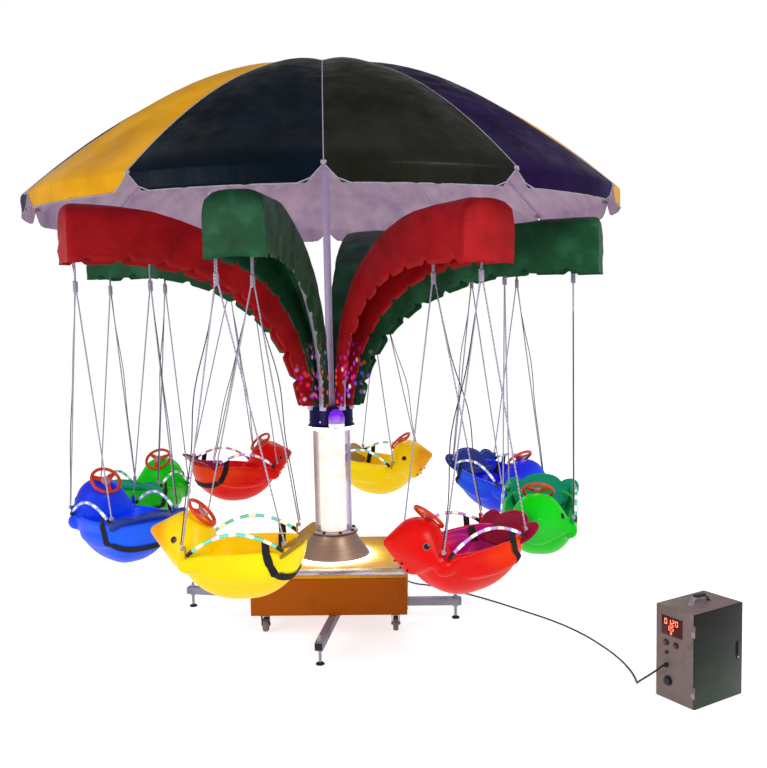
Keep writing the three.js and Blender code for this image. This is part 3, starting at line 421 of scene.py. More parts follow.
def door_enamel():
    material, tree, place = start_material("dark green enamel")
    height = add(tree, "SeparateXYZ", links={0: place}).outputs[2]
    level = add(tree, "MapRange", {1: DOOR_HEIGHTS[0], 2: DOOR_HEIGHTS[1]}, {0: height})
    smear = add(tree, "TexNoise", {"Scale": 1000 / 90, "Detail": 6}, {"Vector": place})
    mixed = add(tree, "Math", {"operation": "MULTIPLY_ADD", 1: 0.35}, {0: smear, 2: level})
    stops = [(0.15, "#334233"), (0.6, "#1E261E"), (1.0, "#10130E")]
    tint = add(tree, "ValToRGB", {"stops": stops}, {"Fac": mixed})
    gloss = add(tree, "ValToRGB", {"stops": [(0.3, 0.14), (0.75, 0.3)]}, {"Fac": smear})
    peel = add(tree, "TexNoise", {"Scale": 1000 / 1.4}, {"Vector": place})
    bent = add(tree, "Bump", {"Strength": 0.3, "Distance": 0.0002}, {"Height": peel})
    return close_material(material, tree, tint, gloss, bent, {"Specular IOR Level": 0.25})


DOOR_PAINT = door_enamel()
print(DOOR_PAINT.name, "has", len(DOOR_PAINT.node_tree.nodes), "nodes")

# %% [markdown]
# The lid of the base lies under the ring light, and that light is painted on it as colour and a little emission:
# almost white beside the ring, then yellow, turning back to the paint's own orange-brown at the corners. The distance
# from the ride's axis drives both the colour and the emission. A strip of bright film along its front edge shows
# painted reflections of violet spots.

# %% Lit lid and film
def lit_lid():
    material, tree, place = start_material("orange paint under the ring light")
    centred = add(tree, "Mapping", {"Location": (-RIDE_AXIS.x, 0, 0), "Scale": (1, 1, 0)}, {"Vector": place})
    radius = add(tree, "VectorMath", {"operation": "LENGTH"}, {0: centred}).outputs["Value"]
    dust = add(tree, "TexNoise", {"Scale": 1000 / 80, "Detail": 7, "Roughness": 0.65}, {"Vector": place})
    uneven = add(tree, "Math", {"operation": "MULTIPLY_ADD", 1: 0.10}, {0: dust, 2: radius})
    # share runs out through the painted pool of the ring's light, and the dust noise makes its edge uneven
    share = add(tree, "MapRange", {1: 0.25, 2: 0.56}, {0: uneven})
    stops = [(0.0, "#FFF3C0"), (0.12, "#FFD850"), (0.30, "#EEAC12"), (0.65, "#D89412"), (1.0, "#B87A2C")]
    tint = add(tree, "ValToRGB", {"stops": stops}, {"Fac": share})
    glow = [(0.0, 0.85), (0.12, 0.4), (0.35, 0.1), (1.0, 0.0)]
    strength = add(tree, "ValToRGB", {"stops": glow}, {"Fac": share})
    gloss = add(tree, "ValToRGB", {"stops": [(0.3, 0.25), (0.75, 0.45)]}, {"Fac": dust})
    bent = add(tree, "Bump", {"Strength": 0.2, "Distance": 0.0008}, {"Height": dust})
    light = {"Emission Color": tint, "Emission Strength": strength}
    return close_material(material, tree, tint, gloss, bent, {"Specular IOR Level": 0.25}, light)


def bright_film():
    material, tree, place = start_material("bright film")
    smear = add(tree, "TexNoise", {"Scale": 1000 / 60, "Detail": 5}, {"Vector": place})
    spots = add(tree, "TexNoise", {"Scale": 1000 / 34, "Detail": 1}, {"Vector": place})
    stops = [(0.3, "#9C8878"), (0.55, "#BDB0AA"), (0.8, "#D8CFD0")]
    tint = add(tree, "ValToRGB", {"stops": stops}, {"Fac": smear})
    # the violet spots are painted reflections
    violet = add(tree, "MapRange", {1: 0.60, 2: 0.72}, {0: spots})
    mixed = add(tree, "Mix", {"data_type": "RGBA", 7: linear("#9A7AE8")}, {0: violet, 6: tint})
    gloss = add(tree, "ValToRGB", {"stops": [(0.3, 0.15), (0.7, 0.35)]}, {"Fac": smear})
    bent = add(tree, "Bump", {"Strength": 0.3, "Distance": 0.001}, {"Height": smear})
    return close_material(material, tree, mixed.outputs[2], gloss, bent, {"Metallic": 0.3})


LID_PAINT, FILM = lit_lid(), bright_film()
print(LID_PAINT.name, "has", len(LID_PAINT.node_tree.nodes), "nodes")

# %% [markdown]
# ## Brushed bronze
#
# The bell at the foot of the column is spun from bronze and brushed as it turns, so its scratches run round
# it. A noise drawn out sideways and pressed flat in height gives them. The light from the ring below makes it
# look smooth, so the scratches stay faint.

# %% Brushed bronze
def brushed_bronze():
    material, tree, place = start_material("brushed bronze")
    drawn_out = add(tree, "Mapping", {"Scale": (0.17, 0.17, 2)}, {"Vector": place})
    rings = add(tree, "TexNoise", {"Scale": 1000 / 30, "Detail": 4}, {"Vector": drawn_out})
    tint = add(tree, "ValToRGB", {"stops": [(0.3, "#A48470"), (0.7, "#B89884")]}, {"Fac": rings})
    gloss = add(tree, "ValToRGB", {"stops": [(0.3, 0.38), (0.7, 0.46)]}, {"Fac": rings})
    bent = add(tree, "Bump", {"Strength": 0.08, "Distance": 0.0003}, {"Height": rings})
    return close_material(material, tree, tint, gloss, bent, {"Metallic": 0.55})


BRONZE = brushed_bronze()
print(BRONZE.name, "has", len(BRONZE.node_tree.nodes), "nodes")

# %% [markdown]
# ## Rubber, webbing and small mouldings
#
# Tyres and pads are rubber, dull with a grey bloom. Belts are webbing, hems are woven tape, and the small
# fittings are injection moulded: smoother, with the faint spark-eroded texture of the mould. They differ in
# the size of their grain and in how far it dulls them, so one material with a few numbers serves all.

# %% Rubber, webbing and mouldings
def grained(name, colour, bloom, grain_mm, roughness, depth_mm=0.3):
    material, tree, place = start_material(name)
    cloud = add(tree, "TexNoise", {"Scale": 1000 / (8 * grain_mm), "Detail": 6}, {"Vector": place})
    tint = add(tree, "ValToRGB", {"stops": [(0.35, colour), (0.8, bloom)]}, {"Fac": cloud})
    gloss = add(tree, "ValToRGB", {"stops": [(0.3, roughness * 0.85), (0.75, roughness)]}, {"Fac": cloud})
    tooth = add(tree, "TexNoise", {"Scale": 1000 / grain_mm, "Detail": 3}, {"Vector": place})
    bent = add(tree, "Bump", {"Strength": 0.4, "Distance": depth_mm / 1000}, {"Height": tooth})
    return close_material(material, tree, tint, gloss, bent, {"Specular IOR Level": 0.4})


RUBBER = grained("black rubber", "#191721", "#33303D", 2.5, 0.8)
TYRE = grained("brown polyurethane tyre", "#7A6652", "#94806A", 2.5, 0.45)
WEBBING = grained("black webbing", "#0C0B10", "#221F2B", 2.0, 0.85)
HEM_PIPING = grained("woven hem tape", "#8F8A98", "#B4AEBC", 1.5, 0.7)
LAMP_WIRE = grained("lamp wire sheath", "#241D34", "#3A3148", 2.0, 0.45)
CABLE_SHEATH = grained("cable sheath", "#131613", "#2C302B", 2.0, 0.6)
BLACK_PLASTIC = grained("black moulding", "#15131A", "#26232C", 1.5, 0.4, 0.1)
BUTTON_DARK = grained("dark red button", "#4E2434", "#6A3446", 1.5, 0.35, 0.1)
STEERING_RED = grained("orange moulded wheel", "#E23A14", "#F2541E", 2.0, 0.35, 0.1)
HUB_PINK = grained("pink hub cap", "#CF7C88", "#E0959E", 2.0, 0.4, 0.1)
EYE_DARK = grained("dark eye", "#140C12", "#2A1A22", 2.0, 0.2, 0.05)
EYE_TEAL = grained("grey teal eye ring", "#56757E", "#7C979C", 2.0, 0.3, 0.05)
EYE_BROWN = grained("brown eye ring", "#A8641A", "#C07E2E", 2.0, 0.3, 0.05)
# the bead's pale colour is a painted highlight along the tail's edge
TAIL_BEAD_HIGHLIGHT = grained("edge bead painted with a highlight", "#7C8CB8", "#95A3CA", 2.0, 0.35, 0.1)
print(TAIL_BEAD_HIGHLIGHT.name, "has", len(TAIL_BEAD_HIGHLIGHT.node_tree.nodes), "nodes")

# %% [markdown]
# The ropes are braided polyester about seven millimetres thick. A braid repeats every few millimetres, so a diagonal
# wave gives its plaits, drawn a little coarse so that they show. The same wave paints shade as a darker grey in the
# hollows between the plaits.

# %% Braided rope
PLAIT_MM = 7


def braided_rope(name, colour, deep):
    material, tree, place = start_material(name)
    settings = {"bands_direction": "DIAGONAL", "Scale": 314 / PLAIT_MM, "Distortion": 1.5, "Detail": 1.0}
    plait = add(tree, "TexWave", settings, {"Vector": place}).outputs["Fac"]
    # the darker grey follows the hollows of the plaits: painted shade
    tint = add(tree, "ValToRGB", {"stops": [(0.1, deep), (0.6, colour)]}, {"Fac": plait})
    bent = add(tree, "Bump", {"Strength": 0.5, "Distance": 0.001}, {"Height": plait})
    gloss = add(tree, "ValToRGB", {"stops": [(0.1, 0.9), (0.6, 0.72)]}, {"Fac": plait})
    return close_material(material, tree, tint, gloss, bent, {"Sheen Weight": 0.2})


ROPE = braided_rope("braided grey rope", "#C2BACF", "#8F879E")
print(ROPE.name, "has", len(ROPE.node_tree.nodes), "nodes")

# %% [markdown]
# ## Lit plastics
#
# The glowing core of the column, the silicone ring round its foot and the digits are plastics with lamps
# behind them. The light is scattered, a little brighter where a lamp sits, so a soft noise moves the colour,
# and the strength is set on the shader itself, which keeps it when the model leaves Blender.

# %% Lit plastics
def lit_plastic(name, colour, dim, strength, lamp_mm=40):
    material, tree, place = start_material(name)
    lamps = add(tree, "TexNoise", {"Scale": 1000 / lamp_mm, "Detail": 1}, {"Vector": place})
    tint = add(tree, "ValToRGB", {"stops": [(0.3, dim), (0.6, colour)]}, {"Fac": lamps})
    gloss = add(tree, "ValToRGB", {"stops": [(0.3, 0.5), (0.6, 0.4)]}, {"Fac": lamps})
    grain = add(tree, "TexNoise", {"Scale": 1000 / 3}, {"Vector": place})
    bent = add(tree, "Bump", {"Strength": 0.2, "Distance": 0.0002}, {"Height": grain})
    return close_material(material, tree, tint, gloss, bent, {"Emission Strength": strength}, {"Emission Color": tint})


LIGHT_CORE = lit_plastic("lit column diffuser", "#FFFDF4", "#F4EBDA", 0.62, 60)
LIGHT_RING = lit_plastic("lit silicone ring", "#FFFFFF", "#FFF8F0", 3.5)
DIGITS = lit_plastic("lit red digits", "#FF8A66", "#FF4A2C", 2.4, 5)
LAMP_BASE = lit_plastic("lit lamp base", "#F4F0FF", "#DCD2EE", 0.5)
LENS_SPOT = lit_plastic("lamp inside the lens", "#FFF2FF", "#F0D8FF", 4.0)
print(LENS_SPOT.name, "has", len(LENS_SPOT.node_tree.nodes), "nodes")

# %% [markdown]
# The strips over the seats are clear hoses of soft PVC with lamps inside. The wall gathers the light in the
# middle and looks darker towards its edges, which a layer weight gives, and it blurs along the hose.

# %% Lit hoses
def lit_hose(name, colour, edge, strength):
    """A clear hose with lamps inside, whose wall darkens towards its edges and blurs along its length."""
    material, tree, place = start_material(name)
    blur = add(tree, "TexNoise", {"Scale": 1000 / 30, "Detail": 2}, {"Vector": place})
    facing = add(tree, "LayerWeight", {"Blend": 0.35}).outputs["Facing"]
    uneven = add(tree, "Math", {"operation": "MULTIPLY_ADD", 1: 0.35}, {0: blur, 2: facing})
    tint = add(tree, "ValToRGB", {"stops": [(0.35, colour), (0.95, edge)]}, {"Fac": uneven})
    glow = add(tree, "MapRange", {1: 0.3, 2: 0.9, 3: strength, 4: 0.05}, {0: uneven})
    gloss = add(tree, "ValToRGB", {"stops": [(0.3, 0.12), (0.7, 0.2)]}, {"Fac": blur})
    bent = add(tree, "Bump", {"Strength": 0.2, "Distance": 0.0006}, {"Height": blur})
    light = {"Emission Color": tint, "Emission Strength": glow}
    return close_material(material, tree, tint, gloss, bent, {"Specular IOR Level": 0.4}, light)


STRIP_WHITE = lit_hose("lit strip white", "#FFFFFF", "#8E92B4", 0.8)
STRIP_TEAL = lit_hose("lit strip teal", "#74D8C4", "#3E8E88", 0.3)
STRIP_CREAM = lit_hose("lit strip cream", "#FFEFC4", "#A08868", 0.6)
STRIP_LILAC = lit_hose("lit strip lilac", "#C8A0DC", "#9A6AA8", 0.25)
STRIP_PALE = lit_hose("lit strip pale blue", "#B4CCF0", "#7088C0", 0.25)
print(STRIP_PALE.name, "has", len(STRIP_PALE.node_tree.nodes), "nodes")

# %% [markdown]
# ## Clear acrylic
#
# The sleeve round the column is clear. Seen straight on it lets the light through, and towards its edges it
# turns into a mirror, which a layer weight gives. It mirrors a warm room on its left and a cool one on its
# right, so its tint runs across it.

# %% Clear acrylic
HALF_SLEEVE = 0.12


def clear_acrylic():
    material, tree, place = start_material("clear acrylic")
    across = add(tree, "SeparateXYZ", links={0: place}).outputs[0]
    side = add(tree, "MapRange", {1: RIDE_AXIS.x - HALF_SLEEVE, 2: RIDE_AXIS.x + HALF_SLEEVE}, {0: across})
    tint = add(tree, "ValToRGB", {"stops": [(0.2, "#A87C78"), (0.8, "#A79AC8")]}, {"Fac": side})
    edge = add(tree, "LayerWeight", {"Blend": 0.5}).outputs["Facing"]
    cover = add(tree, "MapRange", {1: 0.25, 2: 0.95, 3: 0.08, 4: 0.8}, {0: edge})
    ripple = add(tree, "TexNoise", {"Scale": 1000 / 60, "Detail": 1}, {"Vector": place})
    bent = add(tree, "Bump", {"Strength": 0.2, "Distance": 0.002}, {"Height": ripple})
    gloss = add(tree, "ValToRGB", {"stops": [(0.3, 0.06), (0.7, 0.1)]}, {"Fac": ripple})
    return close_material(material, tree, tint, gloss, bent, {"IOR": 1.49}, {"Alpha": cover})


ACRYLIC = clear_acrylic()
print(ACRYLIC.name, "has", len(ACRYLIC.node_tree.nodes), "nodes")

# %% [markdown]
# The lens on the head is a cut dome of polycarbonate over a turning lamp. It glows violet at the top and
# pales to a greyed lavender low down, where it mirrors the white canopy. Its height on the ride drives that.

# %% Lens
LENS_HEIGHTS = 1.040, 1.105


def cut_lens():
    material, tree, place = start_material("cut violet lens")
    height = add(tree, "SeparateXYZ", links={0: place}).outputs[2]
    level = add(tree, "MapRange", {1: LENS_HEIGHTS[0], 2: LENS_HEIGHTS[1]}, {0: height})
    sparkle = add(tree, "TexNoise", {"Scale": 1000 / 22, "Detail": 2}, {"Vector": place})
    mixed = add(tree, "Math", {"operation": "MULTIPLY_ADD", 1: 0.4}, {0: sparkle, 2: level})
    stops = [(0.3, "#8E86B0"), (0.55, "#8A48D0"), (0.9, "#6A14C8"), (1.0, "#7A22E0")]
    tint = add(tree, "ValToRGB", {"stops": stops}, {"Fac": mixed})
    gloss = add(tree, "ValToRGB", {"stops": [(0.3, 0.09), (0.7, 0.18)]}, {"Fac": sparkle})
    facets = add(tree, "TexVoronoi", {"Scale": 1000 / 11}, {"Vector": place})
    bent = add(tree, "Bump", {"Strength": 0.4, "Distance": 0.0015}, {"Height": facets})
    settings = {"Specular IOR Level": 0.12, "Transmission Weight": 0.1, "Emission Strength": 0.5}
    return close_material(material, tree, tint, gloss, bent, settings, {"Emission Color": tint})


LENS = cut_lens()
print(LENS.name, "has", len(LENS.node_tree.nodes), "nodes")

# %% [markdown]
# The display is a sheet of smoked red acrylic over the digits, polished, with finger smears.

# %% Display
def display_glass():
    material, tree, place = start_material("smoked display glass")
    smear = add(tree, "TexNoise", {"Scale": 1000 / 30, "Detail": 4}, {"Vector": place})
    tint = add(tree, "ValToRGB", {"stops": [(0.3, "#1E0608"), (0.8, "#3A0E12")]}, {"Fac": smear})
    gloss = add(tree, "ValToRGB", {"stops": [(0.3, 0.05), (0.8, 0.16)]}, {"Fac": smear})
    settings = {"Specular IOR Level": 0.2, "Emission Color": "#7A0C08", "Emission Strength": 0.3}
    bent = add(tree, "Bump", {"Strength": 0.1, "Distance": 0.0003}, {"Height": smear})
    return close_material(material, tree, tint, gloss, bent, settings)


DISPLAY_GLASS = display_glass()
print(DISPLAY_GLASS.name, "has", len(DISPLAY_GLASS.node_tree.nodes), "nodes")

# %% [markdown]
# ## Moulded seat shells
#
# The birds are hollow shells of rotationally moulded polyethylene, lit from inside. The plastic scatters the light, so
# a shell glows in its own colour, and each has its places: a hull with painted light and shade, brightest at the rim's
# height and towards the rear and deeper above and below it and towards the front, a beak in its own colour, and the
# inside of the tub's rear painted in the shade and the coloured light of the ride that fall into it. Every bird's mesh
# carries an attribute with the bird's own coordinates, forward and up in metres, and those drive the colours here, so
# that all eight can share a material however they are turned. The surface keeps the faint ripple that the mould
# leaves.

# %% Moulded shells
RIM_HEIGHT = 0.19
BEAK_STARTS, BEAK_ENDS = 0.285, 0.335


def moulded_shell(name, bright, colour, deep, beak, tub, glow=0.22):
    material, tree, place = start_material(name)
    own = add(tree, "Attribute", {"attribute_name": "bird_place"}).outputs["Vector"]
    axes = add(tree, "SeparateXYZ", links={0: own})
    # painted light and shade: bright at the rim's height and towards the rear, deeper away from it and towards the
    # front
    below = add(tree, "Math", {"operation": "SUBTRACT", 1: RIM_HEIGHT}, {0: axes.outputs[2]})
    off_rim = add(tree, "Math", {"operation": "ABSOLUTE"}, {0: below})
    level = add(tree, "MapRange", {1: 0.0, 2: RIM_HEIGHT, 3: -0.1, 4: 0.35}, {0: off_rim})
    forward = add(tree, "MapRange", {1: -0.22, 2: 0.24, 3: 0.0, 4: 0.55}, {0: axes.outputs[0]})
    both = add(tree, "Math", {"operation": "ADD"}, {0: level, 1: forward})
    cloud = add(tree, "TexNoise", {"Scale": 1000 / 150}, {"Vector": place})
    lit = add(tree, "Math", {"operation": "MULTIPLY_ADD", 1: 0.3}, {0: cloud, 2: both})
    body = add(tree, "ValToRGB", {"stops": [(0.15, bright), (0.45, colour), (0.95, deep)]}, {"Fac": lit})
    front = add(tree, "MapRange", {1: BEAK_STARTS, 2: BEAK_ENDS}, {0: axes.outputs[0]})
    beaked = add(tree, "Mix", {"data_type": "RGBA", 7: linear(beak)}, {0: front, 6: body})
    # the rear wall of the tub is painted with shade and the coloured light of the ride
    in_tub = add(tree, "Attribute", {"attribute_name": "tub_share"}).outputs["Fac"]
    inside = {0: in_tub, 6: beaked.outputs[2]}
    tint = add(tree, "Mix", {"data_type": "RGBA", 7: linear(tub)}, inside).outputs[2]
    ripple = add(tree, "TexNoise", {"Scale": 1000 / 35}, {"Vector": place})
    bent = add(tree, "Bump", {"Strength": 0.3, "Distance": 0.0015}, {"Height": ripple})
    gloss = add(tree, "ValToRGB", {"stops": [(0.3, 0.27), (0.7, 0.34)]}, {"Fac": ripple})
    settings = {"Specular IOR Level": 0.16, "Emission Strength": glow}
    return close_material(material, tree, tint, gloss, bent, settings, {"Emission Color": tint})


SHELLS = {
    "blue": moulded_shell("blue moulded shell", "#1A5CF4", "#124CF0", "#222CDC", "#1A4CF2", "#1418CC"),
    "yellow": moulded_shell("yellow moulded shell", "#FCE608", "#F8D406", "#F6CC06", "#EE9E06", "#F0BC04"),
    "red": moulded_shell("red moulded shell", "#F0400A", "#DC0A06", "#DA100C", "#D8160E", "#A81070"),
    "green": moulded_shell("green moulded shell", "#0CA414", "#0AB80C", "#08D00C", "#0ECC22", "#0A8A48"),
}
# The tail plates are solid and hold no lamp, so their small glow and their bright-to-deep gradient are painted light
# and shade.
TAILS = {
    "blue": moulded_shell("blue tail plate", "#22348C", "#243EA0", "#2244B4", "#2A42A0", "#2A42A0", 0.12),
    "yellow": moulded_shell("yellow tail plate", "#A07A24", "#B88A2A", "#CC9C30", "#B8892A", "#B8892A", 0.08),
    "red": moulded_shell("red tail plate", "#8A0E34", "#A8103C", "#C4102C", "#A8143E", "#A8143E", 0.12),
    "green": moulded_shell("green tail plate", "#0F8A70", "#12A060", "#14AC54", "#18A860", "#18A860", 0.12),
}
print("materials:", len(bpy.data.materials))

# %% [markdown]
# ## The control cable
#
# The cable comes out of a gland behind the base, drops to the floor, crosses it in one wide bend and rises
# to the gland on the cabinet. It is a round rubber cable of eight millimetres, about 2.3 metres long, seen
# from end to end. The points below are the ones that the solid follows, in metres from the ride's axis or
# in the frames of the base and the cabinet, and a curve with automatic handles joins them smoothly.

# %% Control cable
CABLE_RADIUS = 0.004
BASE_TURN = math.radians(-5)
CABINET_TURN = math.radians(28.8)
CABINET_PLACE = Vector((1.501, -1.212, 0))
base_frame = Matrix.Translation(RIDE_AXIS) @ Matrix.Rotation(BASE_TURN, 4, "Z")
cabinet_frame = Matrix.Translation(RIDE_AXIS + CABINET_PLACE) @ Matrix.Rotation(CABINET_TURN, 4, "Z")
CABLE_FLOOR = [
    (0.390, 0.452, 0.070), (0.420, 0.462, 0.022), (0.466, 0.446, 0.006), (0.530, 0.408, 0.0056),
    (0.606, 0.352, 0.0052), (0.733, 0.222, 0.0052), (0.858, 0.075, 0.0052), (0.992, -0.108, 0.0052),
    (1.116, -0.290, 0.0052), (1.202, -0.466, 0.0052), (1.256, -0.640, 0.0052), (1.286, -0.790, 0.0052),
    (1.296, -0.930, 0.0052), (1.290, -1.030, 0.0056), (1.280, -1.090, 0.008), (1.268, -1.145, 0.034),
]
BASE_EXIT = [(0.300, 0.4065, 0.165), (0.300, 0.4185, 0.165), (0.300, 0.4365, 0.1569)]
CABINET_ENTRY = [(-0.189, 0.042, 0.1391), (-0.175, 0.042, 0.144), (-0.163, 0.042, 0.144)]
route = [base_frame @ Vector(point) for point in BASE_EXIT]
route += [RIDE_AXIS + Vector(point) for point in CABLE_FLOOR]
route += [cabinet_frame @ Vector(point) for point in CABINET_ENTRY]

cable_curve = bpy.data.curves.new("cable_line", "CURVE")
cable_curve.dimensions = "3D"
cable_curve.bevel_depth = CABLE_RADIUS
cable_curve.bevel_resolution = 3
cable_curve.use_fill_caps = True
cable_curve.resolution_u = 8
line = cable_curve.splines.new("BEZIER")
line.bezier_points.add(len(route) - 1)
for spot, point in zip(line.bezier_points, route):
    spot.co = point
    spot.handle_left_type = spot.handle_right_type = "AUTO"
cable_curve.materials.append(CABLE_SHEATH)
cable = bpy.data.objects.new("cable", cable_curve)
bpy.context.collection.objects.link(cable)
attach(cable, "stand")
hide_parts("control_cable")

# %% [markdown]
# ## The base housing
#
# The housing is a box folded from sheet steel, with a lid that laps over its edges and screws along the
# sides and the back. The walls and the lid are two blocks with their own rounded folds, and the seam between
# them catches a dark line. A strip of bright film edges the lid at the front.

# %% Base housing
HOUSING_HALF = 0.390
HOUSING_BOTTOM, HOUSING_TOP = 0.112, 0.314
LID_SKIRT, LID_GAP = 0.016, 0.004
SCREWS_ACROSS, SCREW_HEIGHTS = (-0.34, -0.12, 0.12, 0.34), (0.30, 0.13)
bm = bmesh.new()
wide, seam = 2 * HOUSING_HALF, HOUSING_TOP - LID_SKIRT
block(
    bm, (wide - LID_GAP, wide - LID_GAP, seam - HOUSING_BOTTOM), (0, 0, (HOUSING_BOTTOM + seam) / 2), 0.004
)
block(bm, (wide, wide, LID_SKIRT - 0.001), (0, 0, HOUSING_TOP - LID_SKIRT / 2), 0.004, material=3)
for side in range(1, 4):
    turn = Matrix.Rotation(side * math.pi / 2, 4, "Z")
    for across in SCREWS_ACROSS:
        for height in SCREW_HEIGHTS:
            start, end = (turn @ Vector((across, -HOUSING_HALF + out, height)) for out in (0.003, -0.0015))
            bar(bm, start, end, 0.0045, 10, round_by=0.001, material=1)
for across in (-0.36, 0.36):
    block(bm, (0.018, 0.0012, 0.17), (across, -HOUSING_HALF + 0.0016, 0.205))
bar(bm, (0.300, HOUSING_HALF - 0.002, 0.165), (0.300, 0.406, 0.165), 0.009, 6, round_by=0.0015, material=2)
bm.transform(base_frame)
finish_piece(
    "housing_shell", bm, "stand", [ORANGE_PAINT, ZINC, BLACK_PLASTIC, LID_PAINT], ["base_housing"],
    30,
)

bm = bmesh.new()
block(bm, (2 * HOUSING_HALF - 0.03, 0.110, 0.0012), (0, -HOUSING_HALF + 0.064, HOUSING_TOP + 0.0002), 0.0004)
bm.transform(base_frame)
finish_piece("lid_film_strip", bm, "stand", [FILM])
print("housing", wide, "m wide")

# %% [markdown]
# ## Outriggers
#
# Four square steel tubes were swung out from under the housing by hand, so each has its own direction. At
# the end of each, a screw goes through a welded nut and stands on a round pad. The screw's thread is a
# stack of thin rings, because a true helix would not be told from them at this size.

# %% Outriggers
OUTRIGGERS = {
    "front": ((-0.075, -0.726), -10, 0.480),
    "right": ((0.625, -0.163), 85, 0.400),
    "back": ((0.111, 0.726), 170, 0.480),
    "left": ((-0.785, 0.190), 254, 0.480),
}
BEAM, BEAM_TOP, OVERHANG = 0.040, 0.1117, 0.028
for where, (pad, turn, length) in OUTRIGGERS.items():
    bm = bmesh.new()
    block(bm, (BEAM, length + OVERHANG, BEAM), (0, (length - OVERHANG) / 2, BEAM_TOP - BEAM / 2), 0.004)
    block(bm, (BEAM - 0.006, 0.003, BEAM - 0.006), (0, -OVERHANG - 0.0005, BEAM_TOP - BEAM / 2), 0.001, material=1)
    bar(bm, (0, 0, 0.008), (0, 0, 0.136), 0.0062, 16, round_by=0.001, material=2)
    thread = [0.011 + 0.0022 * i for i in range(23)] + [0.113 + 0.0022 * i for i in range(10)]
    for height in thread:
        bar(bm, (0, 0, height), (0, 0, height + 0.0011), 0.0070, 12, material=2)
    for low, high in ((BEAM_TOP - BEAM - 0.010, BEAM_TOP - BEAM), (BEAM_TOP, BEAM_TOP + 0.008)):
        bar(bm, (0, 0, low), (0, 0, high), 0.013, 6, round_by=0.001, material=2)
    lathe(
        bm, [(0, 0), (0.0195, 0), (0.021, 0.0015), (0.021, 0.004), (0.0165, 0.009), (0.009, 0.012), (0, 0.0135)], 24,
        Vector(), material=1,
    )
    bm.transform(Matrix.Translation(RIDE_AXIS + Vector((*pad, 0))) @ Matrix.Rotation(math.radians(turn), 4, "Z"))
    finish_piece(
        f"outrigger_{where}_arm", bm, "stand", [GREY_POWDER, RUBBER, ZINC], [f"outrigger_{where}"], 30
    )
print("outriggers:", len(OUTRIGGERS))

# %% [markdown]
# ## Casters
#
# A caster is a wheel in a pressed fork, under a swivel race and a top plate. The fork's cheeks taper from
# the crown to the axle, so they are extruded from a few points and bevelled. The tyre is spun from its
# section, and the hub has its own colour.

# %% Casters
WHEEL_RADIUS, AXLE_HEIGHT, TRAIL, CASTER_PLACE = 0.037, 0.042, 0.026, 0.328
CROWN = 0.098
CHEEK = [(-0.010, CROWN), (0.034, CROWN), (0.036, 0.075), (0.034, 0.036), (0.026, 0.031), (0.018, 0.036)]
RACE = [(0, 0.0972), (0.021, 0.0972), (0.023, 0.100), (0.022, 0.104), (0.012, 0.1058), (0, 0.1058)]
TYRE_SECTION = [
    (0.029, -0.0125), (0.033, -0.013), (0.0362, -0.010), (WHEEL_RADIUS, -0.004), (WHEEL_RADIUS, 0.004),
    (0.0362, 0.010), (0.033, 0.013), (0.029, 0.0125), (0.029, -0.0125),
]
HUB_SECTION = [
    (0.0055, -0.0150), (0.012, -0.0150), (0.013, -0.009), (0.027, -0.008), (0.0292, -0.0118), (0.0292, 0.0118),
    (0.027, 0.008), (0.013, 0.009), (0.012, 0.0150), (0.0055, 0.0150), (0.0055, -0.0150),
]
for number, (side_x, side_y) in enumerate([(-1, -1), (1, -1), (1, 1), (-1, 1)], 1):
    place = base_frame @ Matrix.Translation((side_x * CASTER_PLACE, side_y * CASTER_PLACE, 0))
    bm = bmesh.new()
    for side in (-1, 1):
        plate(bm, [(side * 0.017, y, z) for y, z in CHEEK], (side * 0.0028, 0, 0), 0.0008, 1)
        bar(bm, (side * 0.0185, TRAIL, AXLE_HEIGHT), (side * 0.0238, TRAIL, AXLE_HEIGHT), 0.0078, 6,
            round_by=0.0008, material=1)
    block(bm, (0.042, 0.050, 0.004), (0, 0.010, CROWN - 0.001), 0.0018)
    lathe(bm, RACE, 24, Vector())
    bar(bm, (-0.017, TRAIL, AXLE_HEIGHT), (0.017, TRAIL, AXLE_HEIGHT), 0.005, 12, material=1)
    bar(bm, (0, 0, 0.1), (0, 0, 0.1117), 0.007, 12, material=1)
    block(bm, (0.020, 0.050, 0.0056), (0, 0.046, CROWN - 0.004), 0.0018, material=2,
          turn=Matrix.Rotation(math.radians(-8), 4, "X"))
    bm.transform(place)
    finish_piece(
        f"caster_{number}_fork", bm, f"caster_fork_{number}", [NAVY_PAINT, ZINC, LEVER_PURPLE],
        [f"caster_fork_{number}"], 30,
    )
    bm = bmesh.new()
    on_axle = Matrix.Translation((0, TRAIL, AXLE_HEIGHT)) @ Matrix.Rotation(math.pi / 2, 4, "Y")
    lathe(bm, TYRE_SECTION, 32, Vector(), 0, on_axle)
    lathe(bm, HUB_SECTION, 32, Vector(), 1, on_axle)
    bm.transform(place)
    finish_piece(
        f"caster_{number}_wheel", bm, f"caster_wheel_{number}", [TYRE, GREY_POWDER], [f"caster_wheel_{number}"],
        30,
    )
print("casters made, the last one at", [round(v, 3) for v in place.translation])

# %% [markdown]
# ## The column
#
# A spun metal bell spreads the column's load on to the lid, inside a bright ring of silicone light. A
# flange with eight bolts holds the clear sleeve, and the glowing core stands inside it. All of these are
# turned parts, so each is one line of radii and heights spun round the axis, with small steps for its edges.

